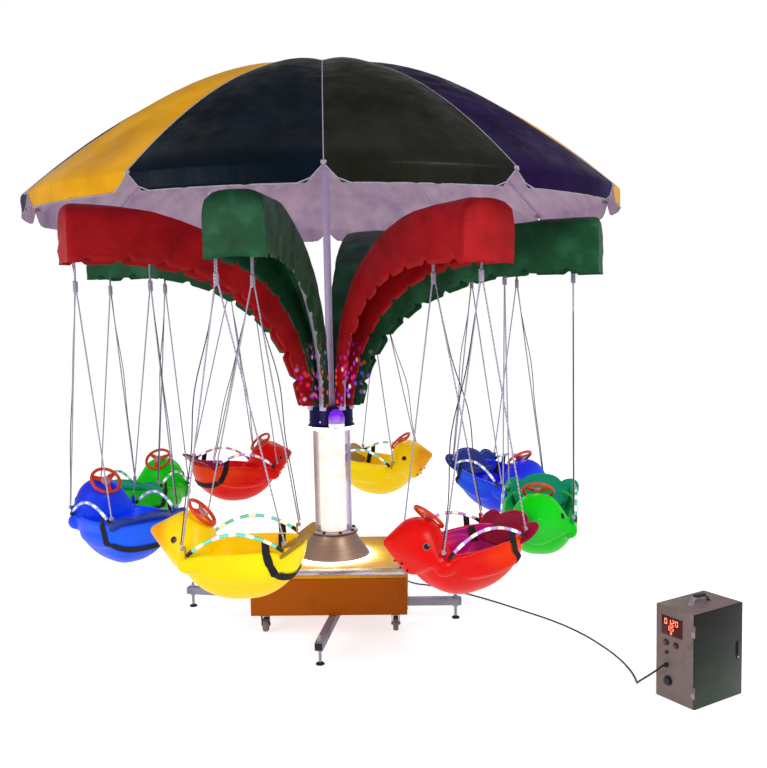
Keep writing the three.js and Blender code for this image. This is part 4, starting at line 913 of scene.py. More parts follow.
# %% Column
bm = bmesh.new()
bell = [
    (0.0, 0.3143), (0.188, 0.3143), (0.190, 0.3163), (0.190, 0.326), (0.1875, 0.3285), (0.180, 0.339),
    (0.170, 0.353), (0.156, 0.372), (0.143, 0.391), (0.131, 0.410), (0.1225, 0.426), (0.118, 0.437), (0.117, 0.4425),
    (0.123, 0.4425), (0.125, 0.4445), (0.125, 0.452), (0.123, 0.454), (0.0, 0.454),
]
lathe(bm, bell, 96)
for i in range(8):
    spot = on_ride(0.112, math.degrees(BASE_TURN) + 22.5 + 45 * i, 0.454)
    bar(bm, spot, spot + Vector((0, 0, 0.0014)), 0.0115, 20, material=1)
    bar(bm, spot, spot + Vector((0, 0, 0.0100)), 0.0085, 6, round_by=0.0010, material=1)
flange_edge = [(0.1200, 0.4430), (0.1272, 0.4430), (0.1276, 0.4455), (0.1272, 0.4480), (0.1200, 0.4480)]
flange_top = [(0.0990, 0.4538), (0.1215, 0.4538), (0.1215, 0.4546), (0.0990, 0.4546), (0.0990, 0.4538)]
lathe(bm, flange_edge, 96, material=1)
lathe(bm, flange_top, 96, material=2)
finish_piece("column_bell", bm, "stand", [BRONZE, DARK_BOLT, SILVER_LACQUER], ["column_foot"], 28)

bm = bmesh.new()
ring = [
    (0.1945, 0.3144), (0.2095, 0.3144), (0.2098, 0.321), (0.2065, 0.3268), (0.202, 0.3282), (0.1975, 0.3268),
    (0.1942, 0.321), (0.1945, 0.3144),
]
lathe(bm, ring, 96)
finish_piece("ring_light_tube", bm, "stand", [LIGHT_RING], ["foot_ring_light"])

bm = bmesh.new()
sleeve = [
    (0.0932, 0.4545), (0.0978, 0.4545), (0.0980, 0.4560), (0.0980, 0.9865), (0.0978, 0.988), (0.0932, 0.988),
    (0.0930, 0.9865), (0.0930, 0.456), (0.0932, 0.4545),
]
lathe(bm, sleeve, 96)
finish_piece("sleeve_tube", bm, "stand", [ACRYLIC], ["column_sleeve"])

bm = bmesh.new()
lathe(bm, [(0, 0.4545), (0.069, 0.4545), (0.069, 0.9885), (0, 0.9885)], 72)
cap = [
    (0.0, 0.9883), (0.100, 0.9883), (0.102, 0.9893), (0.102, 0.9995), (0.1005, 1.0003), (0.0265, 1.0003),
    (0.0265, 0.992), (0, 0.992),
]
lathe(bm, cap, 96, material=1)
block(bm, (0.003, 0.003, 0.50), RIDE_AXIS + Vector((-0.004, -0.0688, 0.722)), 0.001, material=1)
finish_piece("column_core", bm, "stand", [LIGHT_CORE, LAMP_BASE], ["column_light"], 35)

# %% [markdown]
# ## The turning head
#
# The head is a short drum in navy enamel with a rolled lip, and eight arms of flat steel tube leave it. An
# arm rises steeply and levels out, which is a superellipse. The same curve places the cover over the arm,
# so it is a function: it gives the point at any share of the arm, and the direction that faces out of the
# bend. Each arm starts as one face and is extruded along that curve, a step at a time.

# %% Arm curve
ARM_AZIMUTHS = [-66, -20, 30, 69, 118, 165, -150, -107]
ARM_CRESTS = [2.115, 2.090, 2.060, 2.030, 2.080, 2.115, 2.090, 2.070]
COVER_TIPS = [1.322, 1.316, 1.316, 1.390, 1.320, 1.330, 1.320, 1.320]
COVER_SLIPS = [0.050, 0.105, 0, 0, 0, 0, 0, 0]
ARM_ROOT, ARM_END, ARM_FOOT, ARM_ROUNDNESS = 0.085, 1.270, 1.100, 2.25
COVER_DEPTH = 0.0053


def arm_curve(share, crest, drop=0.0):
    """(radius, height) at a share of an arm, moved into the bend by a drop."""
    t = math.pi / 2 * min(max(share, 0), 1)
    power = 2 / ARM_ROUNDNESS
    across, up = ARM_END - ARM_ROOT, crest - ARM_FOOT
    cosine, sine = max(math.cos(t), 1e-9), max(math.sin(t), 1e-9)
    radius, height = ARM_END - across * cosine**power, ARM_FOOT + up * sine**power
    steep, rise = across * sine * cosine ** (power - 1), up * cosine * sine ** (power - 1)
    length = math.hypot(steep, rise)
    return radius + drop * rise / length, height - drop * steep / length


print("arms reach", ARM_END, "m and rise to", max(ARM_CRESTS), "m")

# %% Collar and arms
bm = bmesh.new()
collar = [
    (0, 1.011), (0.120, 1.011), (0.1222, 1.013), (0.1222, 1.0165), (0.120, 1.019), (0.1155, 1.0235), (0.114, 1.028),
    (0.114, 1.108), (0.1115, 1.1155), (0.106, 1.117), (0, 1.117),
]
lathe(bm, collar, 96)
lathe(bm, [(0.0, 0.9415), (0.0235, 0.9415), (0.024, 0.943), (0.024, 1.013)], 48, material=1)
glow_ring = [(0.1005, 1.0045), (0.1165, 1.0045), (0.1165, 1.0108), (0.1005, 1.0108), (0.1005, 1.0045)]
lathe(bm, glow_ring, 96, material=2)
for i in range(6):
    start = on_ride(0.1125, 30 + 60 * i, 1.040)
    bar(bm, start, on_ride(0.1165, 30 + 60 * i, 1.040), 0.006, 6, round_by=0.0008, material=1)
LAMP_AZIMUTH = 10
shelf_turn = Matrix.Rotation(math.radians(LAMP_AZIMUTH), 4, "Z")
block(bm, (0.034, 0.062, 0.0048), RIDE_AXIS + shelf_turn @ Vector((0, -0.134, 1.0134)), 0.0015, turn=shelf_turn)
STATIONS = 28
ARM_SECTION = [(-0.018, 0), (0.018, 0), (0.018, 0.035), (-0.018, 0.035)]
for azimuth, crest in zip(ARM_AZIMUTHS, ARM_CRESTS):
    arm = bmesh.new()
    rows = []
    for station in range(STATIONS + 1):
        places = [arm_curve(station / STATIONS, crest, COVER_DEPTH + deep) for _, deep in ARM_SECTION]
        rows.append([(x, -radius, height) for (x, _), (radius, height) in zip(ARM_SECTION, places)])
    rows.append([(x, -(ARM_END + 0.004), crest - COVER_DEPTH - 0.0030 - deep) for x, deep in ARM_SECTION])
    end = arm.faces.new([arm.verts.new(point) for point in rows[0]])
    for row in rows[1:]:
        end = bmesh.ops.extrude_discrete_faces(arm, faces=[end])["faces"][0]
        for vert, point in zip(end.verts, row):
            vert.co = point
    bmesh.ops.recalc_face_normals(arm, faces=arm.faces)
    along = [e for e in arm.edges if abs(e.verts[0].co.x - e.verts[1].co.x) < 1e-6 and len(e.link_faces) == 2]
    round_edges(arm, [e for e in along if e.calc_face_angle(0) > 1.2], 0.004)
    take_in(bm, arm, Matrix.Translation(RIDE_AXIS) @ Matrix.Rotation(math.radians(azimuth), 4, "Z"), 1)
print("collar and arms have", len(bm.faces), "faces")

# %% [markdown]
# Each rope hangs from a forged eye on a lug beside the arm. The seats hang a little twisted and tilted, so
# two frames place them. The hanging frame stands on the floor under a seat, with its heading along X and Y
# pointing away from the column. The seat's own frame is lifted and nosed down inside it.

# %% Seat frames and lugs
SEAT_COLOURS = ["blue", "yellow", "red", "green"] * 2
SEAT_YAWS = [16, 12, -4, 6, 5, -18, 0, 4]
SEAT_PITCHES = [1, 3, 6, 10, 11, 5, 7, 7]
SEAT_SHIFTS = [0, 0, -0.025, 0, 0, 0, -0.080, 0]
SEAT_HEIGHTS = [0.438, 0.422, 0.385, 0.402, 0.410, 0.422, 0.438, 0.426]
SEAT_RADIUS, ROPE_SPACING, ROPE_REACH, HANG_DROP, TILT_HEIGHT = 1.094, 0.165, 0.210, 0.098, 0.200
LUG_HEIGHTS, LUG_BELOW = {1: 0.068, -1: 0.036}, 0.011


def hanging_frame(i):
    """The frame on the floor under a seat."""
    turn = Matrix.Rotation(math.radians(ARM_AZIMUTHS[i] + 180 + SEAT_YAWS[i]), 4, "Z")
    return Matrix.Translation(on_ride(SEAT_RADIUS, ARM_AZIMUTHS[i], 0)) @ turn


def seat_world(i):
    """The seat's own frame: lifted, and tilted about a point above its lowest."""
    pitch = math.radians(SEAT_PITCHES[i])
    lift = (SEAT_SHIFTS[i] - TILT_HEIGHT * math.sin(pitch), 0, SEAT_HEIGHTS[i] + TILT_HEIGHT * (1 - math.cos(pitch)))
    return hanging_frame(i) @ Matrix.Translation(lift) @ Matrix.Rotation(pitch, 4, "Y")


def rope_top(i, side):
    """The upper end of the ropes at one side of a seat, in the hanging frame."""
    across = side * ROPE_SPACING
    return Vector((across * math.tan(math.radians(SEAT_YAWS[i])), across, ARM_CRESTS[i] - HANG_DROP))


for i in range(8):
    for side in (-1, 1):
        place = (
            hanging_frame(i) @ Matrix.Translation(rope_top(i, side))
            @ Matrix.Rotation(math.radians(SEAT_PITCHES[i]), 4, "Y")
        )
        high = LUG_HEIGHTS[side]
        shape = bmesh.new()
        block(shape, (0.0058, 0.024, high + LUG_BELOW), (-0.0145, 0, (high - LUG_BELOW) / 2), 0.0022)
        take_in(bm, shape, place, 1)
finish_piece(
    "head_steelwork", bm, "head", [NAVY_PAINT, SILVER_LACQUER, LIGHT_RING], ["turning_head"], 30
)
print("head with", len(ARM_AZIMUTHS), "arms made")

# %% [markdown]
# The lamp on the collar is a moulded dome of clear facets over a white base, with a bright diode inside.
# Facets need flat faces, so the dome is spun in few steps and keeps sharp edges.

# %% Crystal lamp
lamp_place = RIDE_AXIS + shelf_turn @ Vector((0, -0.158, 1.0163))
foot = [(0, 0.0), (0.029, 0.0), (0.038, 0.003), (0.040, 0.008), (0.041, 0.018), (0.040, 0.022), (0, 0.022)]
dome = [
    (0.0385, 0.0225), (0.0415, 0.034), (0.0418, 0.047), (0.0405, 0.058), (0.0365, 0.070), (0.030, 0.081),
    (0.021, 0.0895), (0.011, 0.0945), (0, 0.0965),
]
FACETS_BELOW, FACET_HEIGHT, DIODE_HEIGHT, DIODE_RADIUS = 0.085, 0.0013, 0.048, 0.012
bm = bmesh.new()
lathe(bm, foot, 48, lamp_place)
shape = bmesh.new()
lathe(shape, dome, 18, Vector())
for face in list(shape.faces):
    if len(face.verts) == 4 and face.calc_center_median().z < FACETS_BELOW:
        bmesh.ops.poke(shape, faces=[face], offset=FACET_HEIGHT)
take_in(bm, shape, Matrix.Translation(lamp_place), 1)
diode = bmesh.new()
bmesh.ops.create_uvsphere(diode, u_segments=16, v_segments=10, radius=DIODE_RADIUS)
take_in(bm, diode, Matrix.Translation(lamp_place + Vector((0, 0, DIODE_HEIGHT))), 2)
finish_piece("crystal_dome_lamp", bm, "head", [LAMP_BASE, LENS, LENS_SPOT], ["crystal_lamp"], 8)
print("lamp at", [round(v, 3) for v in lamp_place])

# %% [markdown]
# ## Arm covers
#
# Each cover is one piece of tarpaulin folded over an arm and sewn shut at its outer end, with small notches
# along its lower edges. A flat grid is a good start for a cut sheet: one direction runs along the arm, the
# other goes up one side, over the top and down the other. Every grid point then moves to its place on the
# folded shape, and a noise adds the cloth's creases. Its seed is set, so they are the same each time.

# %% Cover shape
COVER_STEPS, SIDE_LANES, TOP_LANES = 110, 10, 8
COVER_LANES = 2 * SIDE_LANES + TOP_LANES
HEM_RUNS, NOTCH_SHARE, NOTCH_DEPTH = 10, 0.26, 0.030
HUB_HALF, TIP_HALF, HUB_DROP, TIP_DROP = 0.026, 0.130, 0.085, 0.266
TIP_CORNER = [(0.030, 0.001), (0.016, 0.004), (0.008, 0.010), (0.003, 0.020), (0.0, 0.042)]
TOP_WIDTH, ARCH_FROM, COLLAR_TOP = 0.93, 0.95, 1.1235
CREASE_DEPTH, FOLD_DEPTH, EDGE_WANDER = 0.0032, 0.0085, 0.006
noise.seed_set(5)


def cover_half(radius):
    """Half the width of a cover at a radius: narrow at the head, and full from two thirds out."""
    share = min(max((radius - ARM_ROOT) / 0.9, 0), 1)
    return HUB_HALF + (TIP_HALF - HUB_HALF) * share**0.7


def cover_station(step, i):
    """Top point, inward direction, side length and notch for one step along a cover."""
    last = COVER_STEPS - len(TIP_CORNER)
    share = min(step / last, 1.0)
    radius, height = arm_curve(share, ARM_CRESTS[i])
    below = arm_curve(share, ARM_CRESTS[i], 1.0)
    inward = Vector((below[0] - radius, below[1] - height))
    drop = HUB_DROP + (TIP_DROP - HUB_DROP) * share**0.8
    if step > last:
        back, fall = TIP_CORNER[step - last - 1]
        radius, height = COVER_TIPS[i] - back, ARM_CRESTS[i] - fall
        inward = Vector((0, -1))
        drop -= fall
    phase = share * HEM_RUNS % 1.0
    notch = max(0.0, 1 - abs(phase - 1 + NOTCH_SHARE / 2) / (NOTCH_SHARE / 2)) * NOTCH_DEPTH
    return radius, height, inward, drop, min(notch, drop * 0.4)


def cover_point(step, lane, i):
    """Where a grid point of the flat cut lies on the folded cover, with the arm along -Y."""
    radius, height, inward, drop, notch = cover_station(step, i)
    half = cover_half(radius)
    from_top = max(SIDE_LANES - lane, lane - SIDE_LANES - TOP_LANES, 0)
    side = -1 if lane * 2 < COVER_LANES else 1
    arch = 0.005 + 0.026 * min(max(radius - ARCH_FROM, 0) / 0.3, 1)
    if from_top == 0:
        across = (lane - COVER_LANES / 2) / (TOP_LANES / 2)
        across, down = across * half * TOP_WIDTH, arch * across**4
    else:
        q = from_top / SIDE_LANES
        down = arch + (q**1.15) * (drop - notch * q**2 - arch)
        across = side * half * (TOP_WIDTH + (1 - TOP_WIDTH) * min(1, q * 5))
    point = Vector((across, -(radius + inward.x * down), height + inward.y * down))
    point.x += COVER_SLIPS[i] * max((radius - ARM_ROOT) / (COVER_TIPS[i] - ARM_ROOT), 0) ** 3
    loose = min(1, down / 0.15)
    seed = Vector((3.7 * i, 1.9 * i, side * 5))
    fold = noise.noise(Vector((step * 0.16, side * 4 + 3.1 * i, down * 2)))
    crease = noise.noise_vector(point * 9 + seed) + 0.6 * noise.noise_vector(point * 26 + seed)
    point += crease * CREASE_DEPTH
    if from_top:
        point.x += side * FOLD_DEPTH * fold * loose
        point.y += EDGE_WANDER * noise.noise(Vector((step * 0.1, lane * 0.5, 3.0 * i))) * loose
    point.z = max(point.z, COLLAR_TOP)
    return point


print("cover 1 starts at", [round(v, 3) for v in cover_point(0, SIDE_LANES, 0)])

# %% Covers on their arms
def end_flap(bm, i):
    """Closes the outer end with a grid, whose top and side edges are the cover's own last row."""
    flap = bmesh.new()
    bmesh.ops.create_grid(flap, x_segments=TOP_LANES, y_segments=SIDE_LANES, size=0.5)
    for vert in flap.verts:
        column, row = round((vert.co.x + 0.5) * TOP_LANES), round((0.5 - vert.co.y) * SIDE_LANES)
        lanes = SIDE_LANES - row, SIDE_LANES + TOP_LANES + row
        left, right = (cover_point(COVER_STEPS, lane, i) for lane in lanes)
        share, deep = column / TOP_LANES, row / SIDE_LANES
        point = left.lerp(right, share)
        if row == 0:
            point = cover_point(COVER_STEPS, SIDE_LANES + column, i)
        elif 0 < column < TOP_LANES:
            fold = noise.noise(Vector((share * 2.4 + 5 * i, deep * 0.8, 1.0)))
            point.y += 0.016 * fold * deep * math.sin(math.pi * share)
            point.z += 0.012 * deep * math.sin(math.pi * share) * (0.5 + fold)
        vert.co = point
    take_in(bm, flap)
    bmesh.ops.remove_doubles(bm, verts=bm.verts, dist=2e-5)


for i, azimuth in enumerate(ARM_AZIMUTHS):
    bm = bmesh.new()
    bmesh.ops.create_grid(bm, x_segments=COVER_STEPS, y_segments=COVER_LANES, size=0.5)
    for vert in bm.verts:
        vert.co = cover_point(round((vert.co.x + 0.5) * COVER_STEPS), round((vert.co.y + 0.5) * COVER_LANES), i)
    end_flap(bm, i)
    bmesh.ops.recalc_face_normals(bm, faces=bm.faces)
    if sum(f.normal.z * f.calc_area() for f in bm.faces) < 0:
        bmesh.ops.reverse_faces(bm, faces=bm.faces)
    bm.transform(Matrix.Translation(RIDE_AXIS) @ Matrix.Rotation(math.radians(azimuth), 4, "Z"))
    cover_area = sum(f.calc_area() for f in bm.faces)
    cloth = TARPAULIN_GREEN if i % 2 else TARPAULIN_RED
    cover = finish_piece(
        f"cover_{i + 1}_tarpaulin", bm, "head", [cloth], [f"arm_cover_{i + 1}"],
        60,
    )
    modify(cover, "SOLIDIFY", thickness=0.0016, offset=-1)
print("area of the last cover", round(cover_area, 3), "square metres")

# %% [markdown]
# ## The canopy
#
# The canopy is one cloth sewn from twelve panels over twelve ribs. It starts as a single line from the top
# to the hem, spun right round. The middle of each panel then rises a little above its ribs, the hem is cut
# up to each rib, and the valance hangs in slack folds. The inside faces get the lining through the Solidify
# modifier, which gives the inner wall its own material.

# %% Canopy cloth sheet
PANEL_STEPS = 12
CANOPY_RADIUS, CANOPY_TOP, CANOPY_RIM, CANOPY_CURVE = 1.475, 2.845, 2.155, 1.85
VALANCE, VALANCE_OUT = 0.078, 0.002
PANEL_RISE, SEAM_PUCKER, PUCKER_WIDTH, PANEL_SAG, RIM_RIPPLE = 0.026, 0.0022, 0.05, 0.0030, 0.0035
PANEL_CLOTHS = [CLOTH_OLIVE, CLOTH_PURPLE, CLOTH_YELLOW, CLOTH_NAVY]


def canopy_height(radius):
    """The height of the ribs' curve at a radius."""
    return CANOPY_TOP - (CANOPY_TOP - CANOPY_RIM) * (radius / CANOPY_RADIUS) ** CANOPY_CURVE


def valance_point(angle, fall, middle):
    """Radius and height on the valance, which is cut up at each rib and hangs in slack folds between them."""
    fold = noise.noise(Vector((angle * 22, fall, 3.0)))
    radius = CANOPY_RADIUS + VALANCE_OUT + fall * middle * (0.012 * fold - 0.004)
    return radius, CANOPY_RIM - fall * VALANCE * min(1.0, 0.10 + 3.4 * middle)


bm = bmesh.new()
radii = [0.02, 0.06] + [0.12 + (CANOPY_RADIUS - 0.12) * k / 18 for k in range(19)]
profile = [(r, canopy_height(r) + 0.003) for r in radii]
profile += [(CANOPY_RADIUS + VALANCE_OUT, CANOPY_RIM - VALANCE * q) for q in (0.12, 0.35, 0.6, 0.8, 1.0)]
start = [bm.verts.new((0, -r, z)) for r, z in profile]
line = [bm.edges.new(pair) for pair in zip(start, start[1:])]
bmesh.ops.spin(
    bm, geom=start + line, cent=(0, 0, 0), axis=(0, 0, 1), angle=2 * math.pi, steps=PANELS * PANEL_STEPS,
    use_merge=True,
)
bmesh.ops.remove_doubles(bm, verts=bm.verts, dist=1e-5)
bmesh.ops.holes_fill(bm, edges=[e for e in bm.edges if e.is_boundary and e.verts[0].co.z > 2.8], sides=0)
for vert in bm.verts:
    x, y, z = vert.co
    radius, angle = math.hypot(x, y), math.atan2(x, -y)
    share = (angle / (2 * math.pi) * PANELS) % 1.0
    middle = math.sin(math.pi * share)
    if z < CANOPY_RIM - 1e-4:
        radius, z = valance_point(angle, (CANOPY_RIM - z) / VALANCE, middle)
    else:
        reach = min(radius / CANOPY_RADIUS, 1)
        z += PANEL_RISE * middle * math.sin(math.pi * reach**1.2)
        tight = math.exp(-((min(share, 1 - share) * radius / PUCKER_WIDTH) ** 2))
        z += SEAM_PUCKER * tight * noise.noise(Vector((radius * 14, angle * 60, 1.0))) * reach
        z += PANEL_SAG * middle * noise.noise(Vector((x * 5, y * 5, 2.0)))
        near_rim = max(reach - 0.8, 0) / 0.2
        z += RIM_RIPPLE * middle * near_rim * noise.noise(Vector((angle * 55, radius * 3, 7.0)))
    vert.co = (radius * math.sin(angle), -radius * math.cos(angle), z)
bmesh.ops.recalc_face_normals(bm, faces=bm.faces)
for face in bm.faces:
    middle = face.calc_center_median()
    face.material_index = math.floor(math.atan2(middle.x, -middle.y) / (2 * math.pi) * PANELS) % 4
if sum(f.normal.z * f.calc_area() for f in bm.faces) < 0:
    bmesh.ops.reverse_faces(bm, faces=bm.faces)
canopy_area = sum(f.calc_area() for f in bm.faces)
bm.transform(Matrix.Translation(RIDE_AXIS))
canopy = finish_piece("canopy_cloth", bm, "head", PANEL_CLOTHS + [LINING] * 4, ["canopy"], 50)
modify(canopy, "SOLIDIFY", thickness=0.0016, offset=-1, material_offset=4, material_offset_rim=0)
print("canopy cloth", round(canopy_area, 2), "square metres")

# %% [markdown]
# The seams between the panels are piped with a pale tape, and the same tape binds the hem. Both follow
# points on the finished cloth, so they are thin tubes drawn along those points. Each rib ends in a small
# sewn pocket with its steel tip showing.

# %% Seam tape, hem tape and rib pockets
bm = bmesh.new()
RIB_AZIMUTHS = [360 / PANELS * i for i in range(PANELS)]
HEM_STEPS = 16
for azimuth in RIB_AZIMUTHS:
    tube(bm, [on_ride(r, azimuth, canopy_height(r) + 0.0042) for r in radii], 0.0022)
hem = []
for k in range(PANELS * HEM_STEPS):
    azimuth = 360 * k / (PANELS * HEM_STEPS)
    angle = math.radians((azimuth + 180) % 360 - 180)
    radius, height = valance_point(angle, 1, math.sin(math.pi * (k / HEM_STEPS % 1.0)))
    hem.append(on_ride(radius, azimuth, height))
tube(bm, hem, 0.0028, closed=True)
for azimuth in RIB_AZIMUTHS:
    turn = Matrix.Rotation(math.radians(azimuth), 4, "Z")
    block(bm, (0.022, 0.034, 0.016), on_ride(1.467, azimuth, CANOPY_RIM - 0.004), 0.005, turn=turn)
    bar(bm, on_ride(1.455, azimuth, CANOPY_RIM - 0.006), on_ride(1.492, azimuth, CANOPY_RIM - 0.012), 0.0038, 10,
        round_by=0.001, material=1)
finish_piece("seam_and_hem_tape", bm, "head", [HEM_PIPING, ZINC])
print("hem tape through", len(hem), "points")

# %% [markdown]
# Under the cloth, twelve steel ribs meet in a crown at the top of the pole, and a stretcher holds each rib
# from a runner on the pole. Ribs and stretchers are drawn as tubes along their lines.

# %% Canopy frame and pole
bm = bmesh.new()
RUNNER, STRETCHER_REACH = 2.390, 0.800
RIB_RADII = [0.034] + [0.1 + (1.461 - 0.1) * k / 14 for k in range(15)]
for azimuth in RIB_AZIMUTHS:
    tube(bm, [on_ride(r, azimuth, canopy_height(r) - 0.0085) for r in RIB_RADII], 0.0058, 8)
    joint = on_ride(STRETCHER_REACH, azimuth, canopy_height(STRETCHER_REACH) - 0.013)
    bar(bm, on_ride(0.034, azimuth, RUNNER), joint, 0.0048, 10)
    turn = Matrix.Rotation(math.radians(azimuth), 4, "Z")
    block(bm, (0.016, 0.030, 0.018), joint, 0.003, turn=turn)
    block(bm, (0.012, 0.022, 0.020), on_ride(0.040, azimuth, RUNNER), 0.002, turn=turn)
crown = [
    (0.0195, 2.781), (0.034, 2.781), (0.038, 2.785), (0.040, 2.793), (0.040, 2.821), (0.036, 2.827),
    (0.0195, 2.829), (0.0195, 2.781),
]
runner = [
    (0.0195, 2.360), (0.033, 2.360), (0.036, 2.364), (0.036, 2.376), (0.030, 2.380), (0.030, 2.398),
    (0.036, 2.402), (0.036, 2.416), (0.033, 2.420), (0.0195, 2.420), (0.0195, 2.360),
]
lathe(bm, crown, 48)
lathe(bm, runner, 48)
finish_piece("canopy_ribs", bm, "head", [SILVER_LACQUER], ["canopy_frame"], 35)

pole = [
    (0, 1.1175), (0.034, 1.1175), (0.0348, 1.119), (0.0348, 1.150), (0.032, 1.157), (0.0205, 1.160),
    (0.019, 1.163), (0.019, 1.72), (0.0196, 1.722), (0.0196, 1.735), (0.019, 1.737), (0.019, 2.823),
    (0.0175, 2.827), (0, 2.827),
]
bm = bmesh.new()
lathe(bm, pole, 48)
finish_piece("pole_tube", bm, "head", [SILVER_LACQUER], ["canopy_pole"], 30)

top_cap = [(0, 2.856), (0.012, 2.8545), (0.022, 2.851), (0.034, 2.8475), (0.044, 2.8455), (0.044, 2.842), (0, 2.842)]
bm = bmesh.new()
lathe(bm, top_cap, 32)
finish_piece("canopy_cap", bm, "head", [CLOTH_OLIVE])
print("canopy frame and pole made")

# %% [markdown]
# ## The birds
#
# The eight seats are one moulding in four colours. It is a hull like a small boat, with a deep tub for the
# child, a head that tapers to a rounded beak, a cowl behind the steering wheel and two stub wings. A
# moulding like this has no sharp edge anywhere. So a few overlapping lumps are set out first, and a voxel
# remesh then melts them into one skin, which a smoothing evens out.

# %% Lumps
SEAT_RIM = 0.225
HULL = {"at": (0, 0, 0.240), "front": 0.266, "rear": 0.265, "half": 0.185, "high": 0.240, "square": 2.8}
TUB = {"at": (0, 0, 0.262), "front": 0.170, "rear": 0.222, "half": 0.166, "high": 0.238, "square": 2.8}
SKULL = {"at": (0.228, 0, 0.268), "front": 0.112, "rear": 0.108, "half": 0.118, "high": 0.114, "square": 2.1}
BEAK = {"at": (0.366, 0, 0.308), "front": 0.026, "rear": 0.026, "half": 0.034, "high": 0.022, "square": 2}
CHIN = {"at": (0.268, 0, 0.184), "front": 0.044, "rear": 0.050, "half": 0.062, "high": 0.038, "square": 2}
COWL = {"at": (0.205, 0, 0.215), "front": 0.090, "rear": 0.085, "half": 0.162, "high": 0.030, "square": 2.6}
WING = {"front": 0.048, "rear": 0.056, "half": 0.038, "high": 0.038, "square": 2}
WING_AT = (0.196, 0.146, 0.190)
FLANK = {"front": 0.165, "rear": 0.150, "half": 0.028, "high": 0.048, "square": 2}
FLANK_AT = (-0.030, 0.156, 0.150)


def rounded_plan(x, y, square):
    """How far a direction is drawn out, so that a circle becomes a rounded square."""
    flat = math.hypot(x, y)
    return (abs(x / flat) ** square + abs(y / flat) ** square) ** (-1 / square) if flat > 1e-6 else 1.0


def egg(at, front, rear, half, high, square, steps=48):
    """A ball with its own lengths to the front and to the rear, squared off in plan."""
    shape = bmesh.new()
    bmesh.ops.create_uvsphere(shape, u_segments=steps, v_segments=steps // 2, radius=1)
    for vert in shape.verts:
        x, y, z = vert.co
        swell = rounded_plan(x, y, square)
        vert.co = Vector((x * swell * (front if x > 0 else rear), y * swell * half, z * high)) + Vector(at)
    return shape


def cast(holder):
    """Takes the mesh that an object's modifiers give, and removes the object."""
    graph = bpy.context.evaluated_depsgraph_get()
    mesh = bpy.data.meshes.new_from_object(holder.evaluated_get(graph))
    bpy.data.objects.remove(holder)
    return mesh


print("hull", HULL["front"] + HULL["rear"], "m long and", 2 * HULL["half"], "m wide")

# %% One moulding
hull = egg(**HULL, steps=72)
bmesh.ops.bisect_plane(
    hull, geom=hull.verts[:] + hull.edges[:] + hull.faces[:], plane_co=(0, 0, SEAT_RIM), plane_no=(0, 0, 1),
    clear_outer=True,
)
bmesh.ops.holes_fill(hull, edges=[e for e in hull.edges if e.is_boundary], sides=0)
hull, tub = make_object("hull", hull), make_object("tub", egg(**TUB, steps=72))
modify(hull, "BOOLEAN", object=tub, operation="DIFFERENCE", solver="EXACT")
hollow = cast(hull)
bpy.data.objects.remove(tub)

lumps = bmesh.new()
lumps.from_mesh(hollow)
bpy.data.meshes.remove(hollow)
head_shape = bmesh.new()
for lump in (SKULL, BEAK, CHIN, COWL):
    take_in(head_shape, egg(**lump, steps=40))
skin = bmesh.ops.convex_hull(head_shape, input=head_shape.verts)
bmesh.ops.delete(head_shape, geom=list(set(skin["geom_interior"] + skin["geom_unused"])), context="VERTS")
take_in(lumps, head_shape)
for side in (-1, 1):
    take_in(lumps, egg((WING_AT[0], side * WING_AT[1], WING_AT[2]), **WING, steps=24))
    take_in(lumps, egg((FLANK_AT[0], side * FLANK_AT[1], FLANK_AT[2]), **FLANK, steps=32))
rim_line = []
for k in range(72):
    x, y = math.cos(2 * math.pi * k / 72), math.sin(2 * math.pi * k / 72)
    swell = rounded_plan(x, y, HULL["square"])
    rim_line.append((x * swell * (0.176 if x > 0 else 0.236), y * swell * 0.1755, SEAT_RIM - 0.004))
tube(lumps, rim_line, 0.0105, 12, closed=True)
moulding = make_object("moulding", lumps)
modify(moulding, "REMESH", mode="VOXEL", voxel_size=0.0062)
modify(moulding, "SMOOTH", factor=0.5, iterations=9)
modify(moulding, "DECIMATE", ratio=0.42)
SHELL_MESH = cast(moulding)
shell_tree = BVHTree.FromPolygons([v.co for v in SHELL_MESH.vertices], [p.vertices[:] for p in SHELL_MESH.polygons])
print("moulding of", len(SHELL_MESH.polygons), "faces")

# %% [markdown]
# The tail is a flat fan of three lobes that slopes up behind the child. Its outline is a closed Bezier curve with
# automatic handles, so the lobes come out round, and the four points in the notches keep a corner. The curve's own
# bevel gives the plate its soft edge. A bead runs round it, just inside the edge, and on the blue birds it is painted
# pale as a painted highlight along the edge.

# %% Tail fan
TAIL_PLACE = Matrix.Translation((-0.150, 0, 0.170)) @ Matrix.Rotation(math.radians(32), 4, "Y")
TAIL_THICKNESS = 0.014
TAIL_OUTLINE = [
    (0, 0.100), (0.040, 0.150), (0.072, 0.180), (0.112, 0.190), (0.145, 0.182), (0.164, 0.158), (0.164, 0.128),
    (0.150, 0.100), (0.176, 0.078), (0.194, 0.042), (0.200, 0),
]
NOTCH = 7


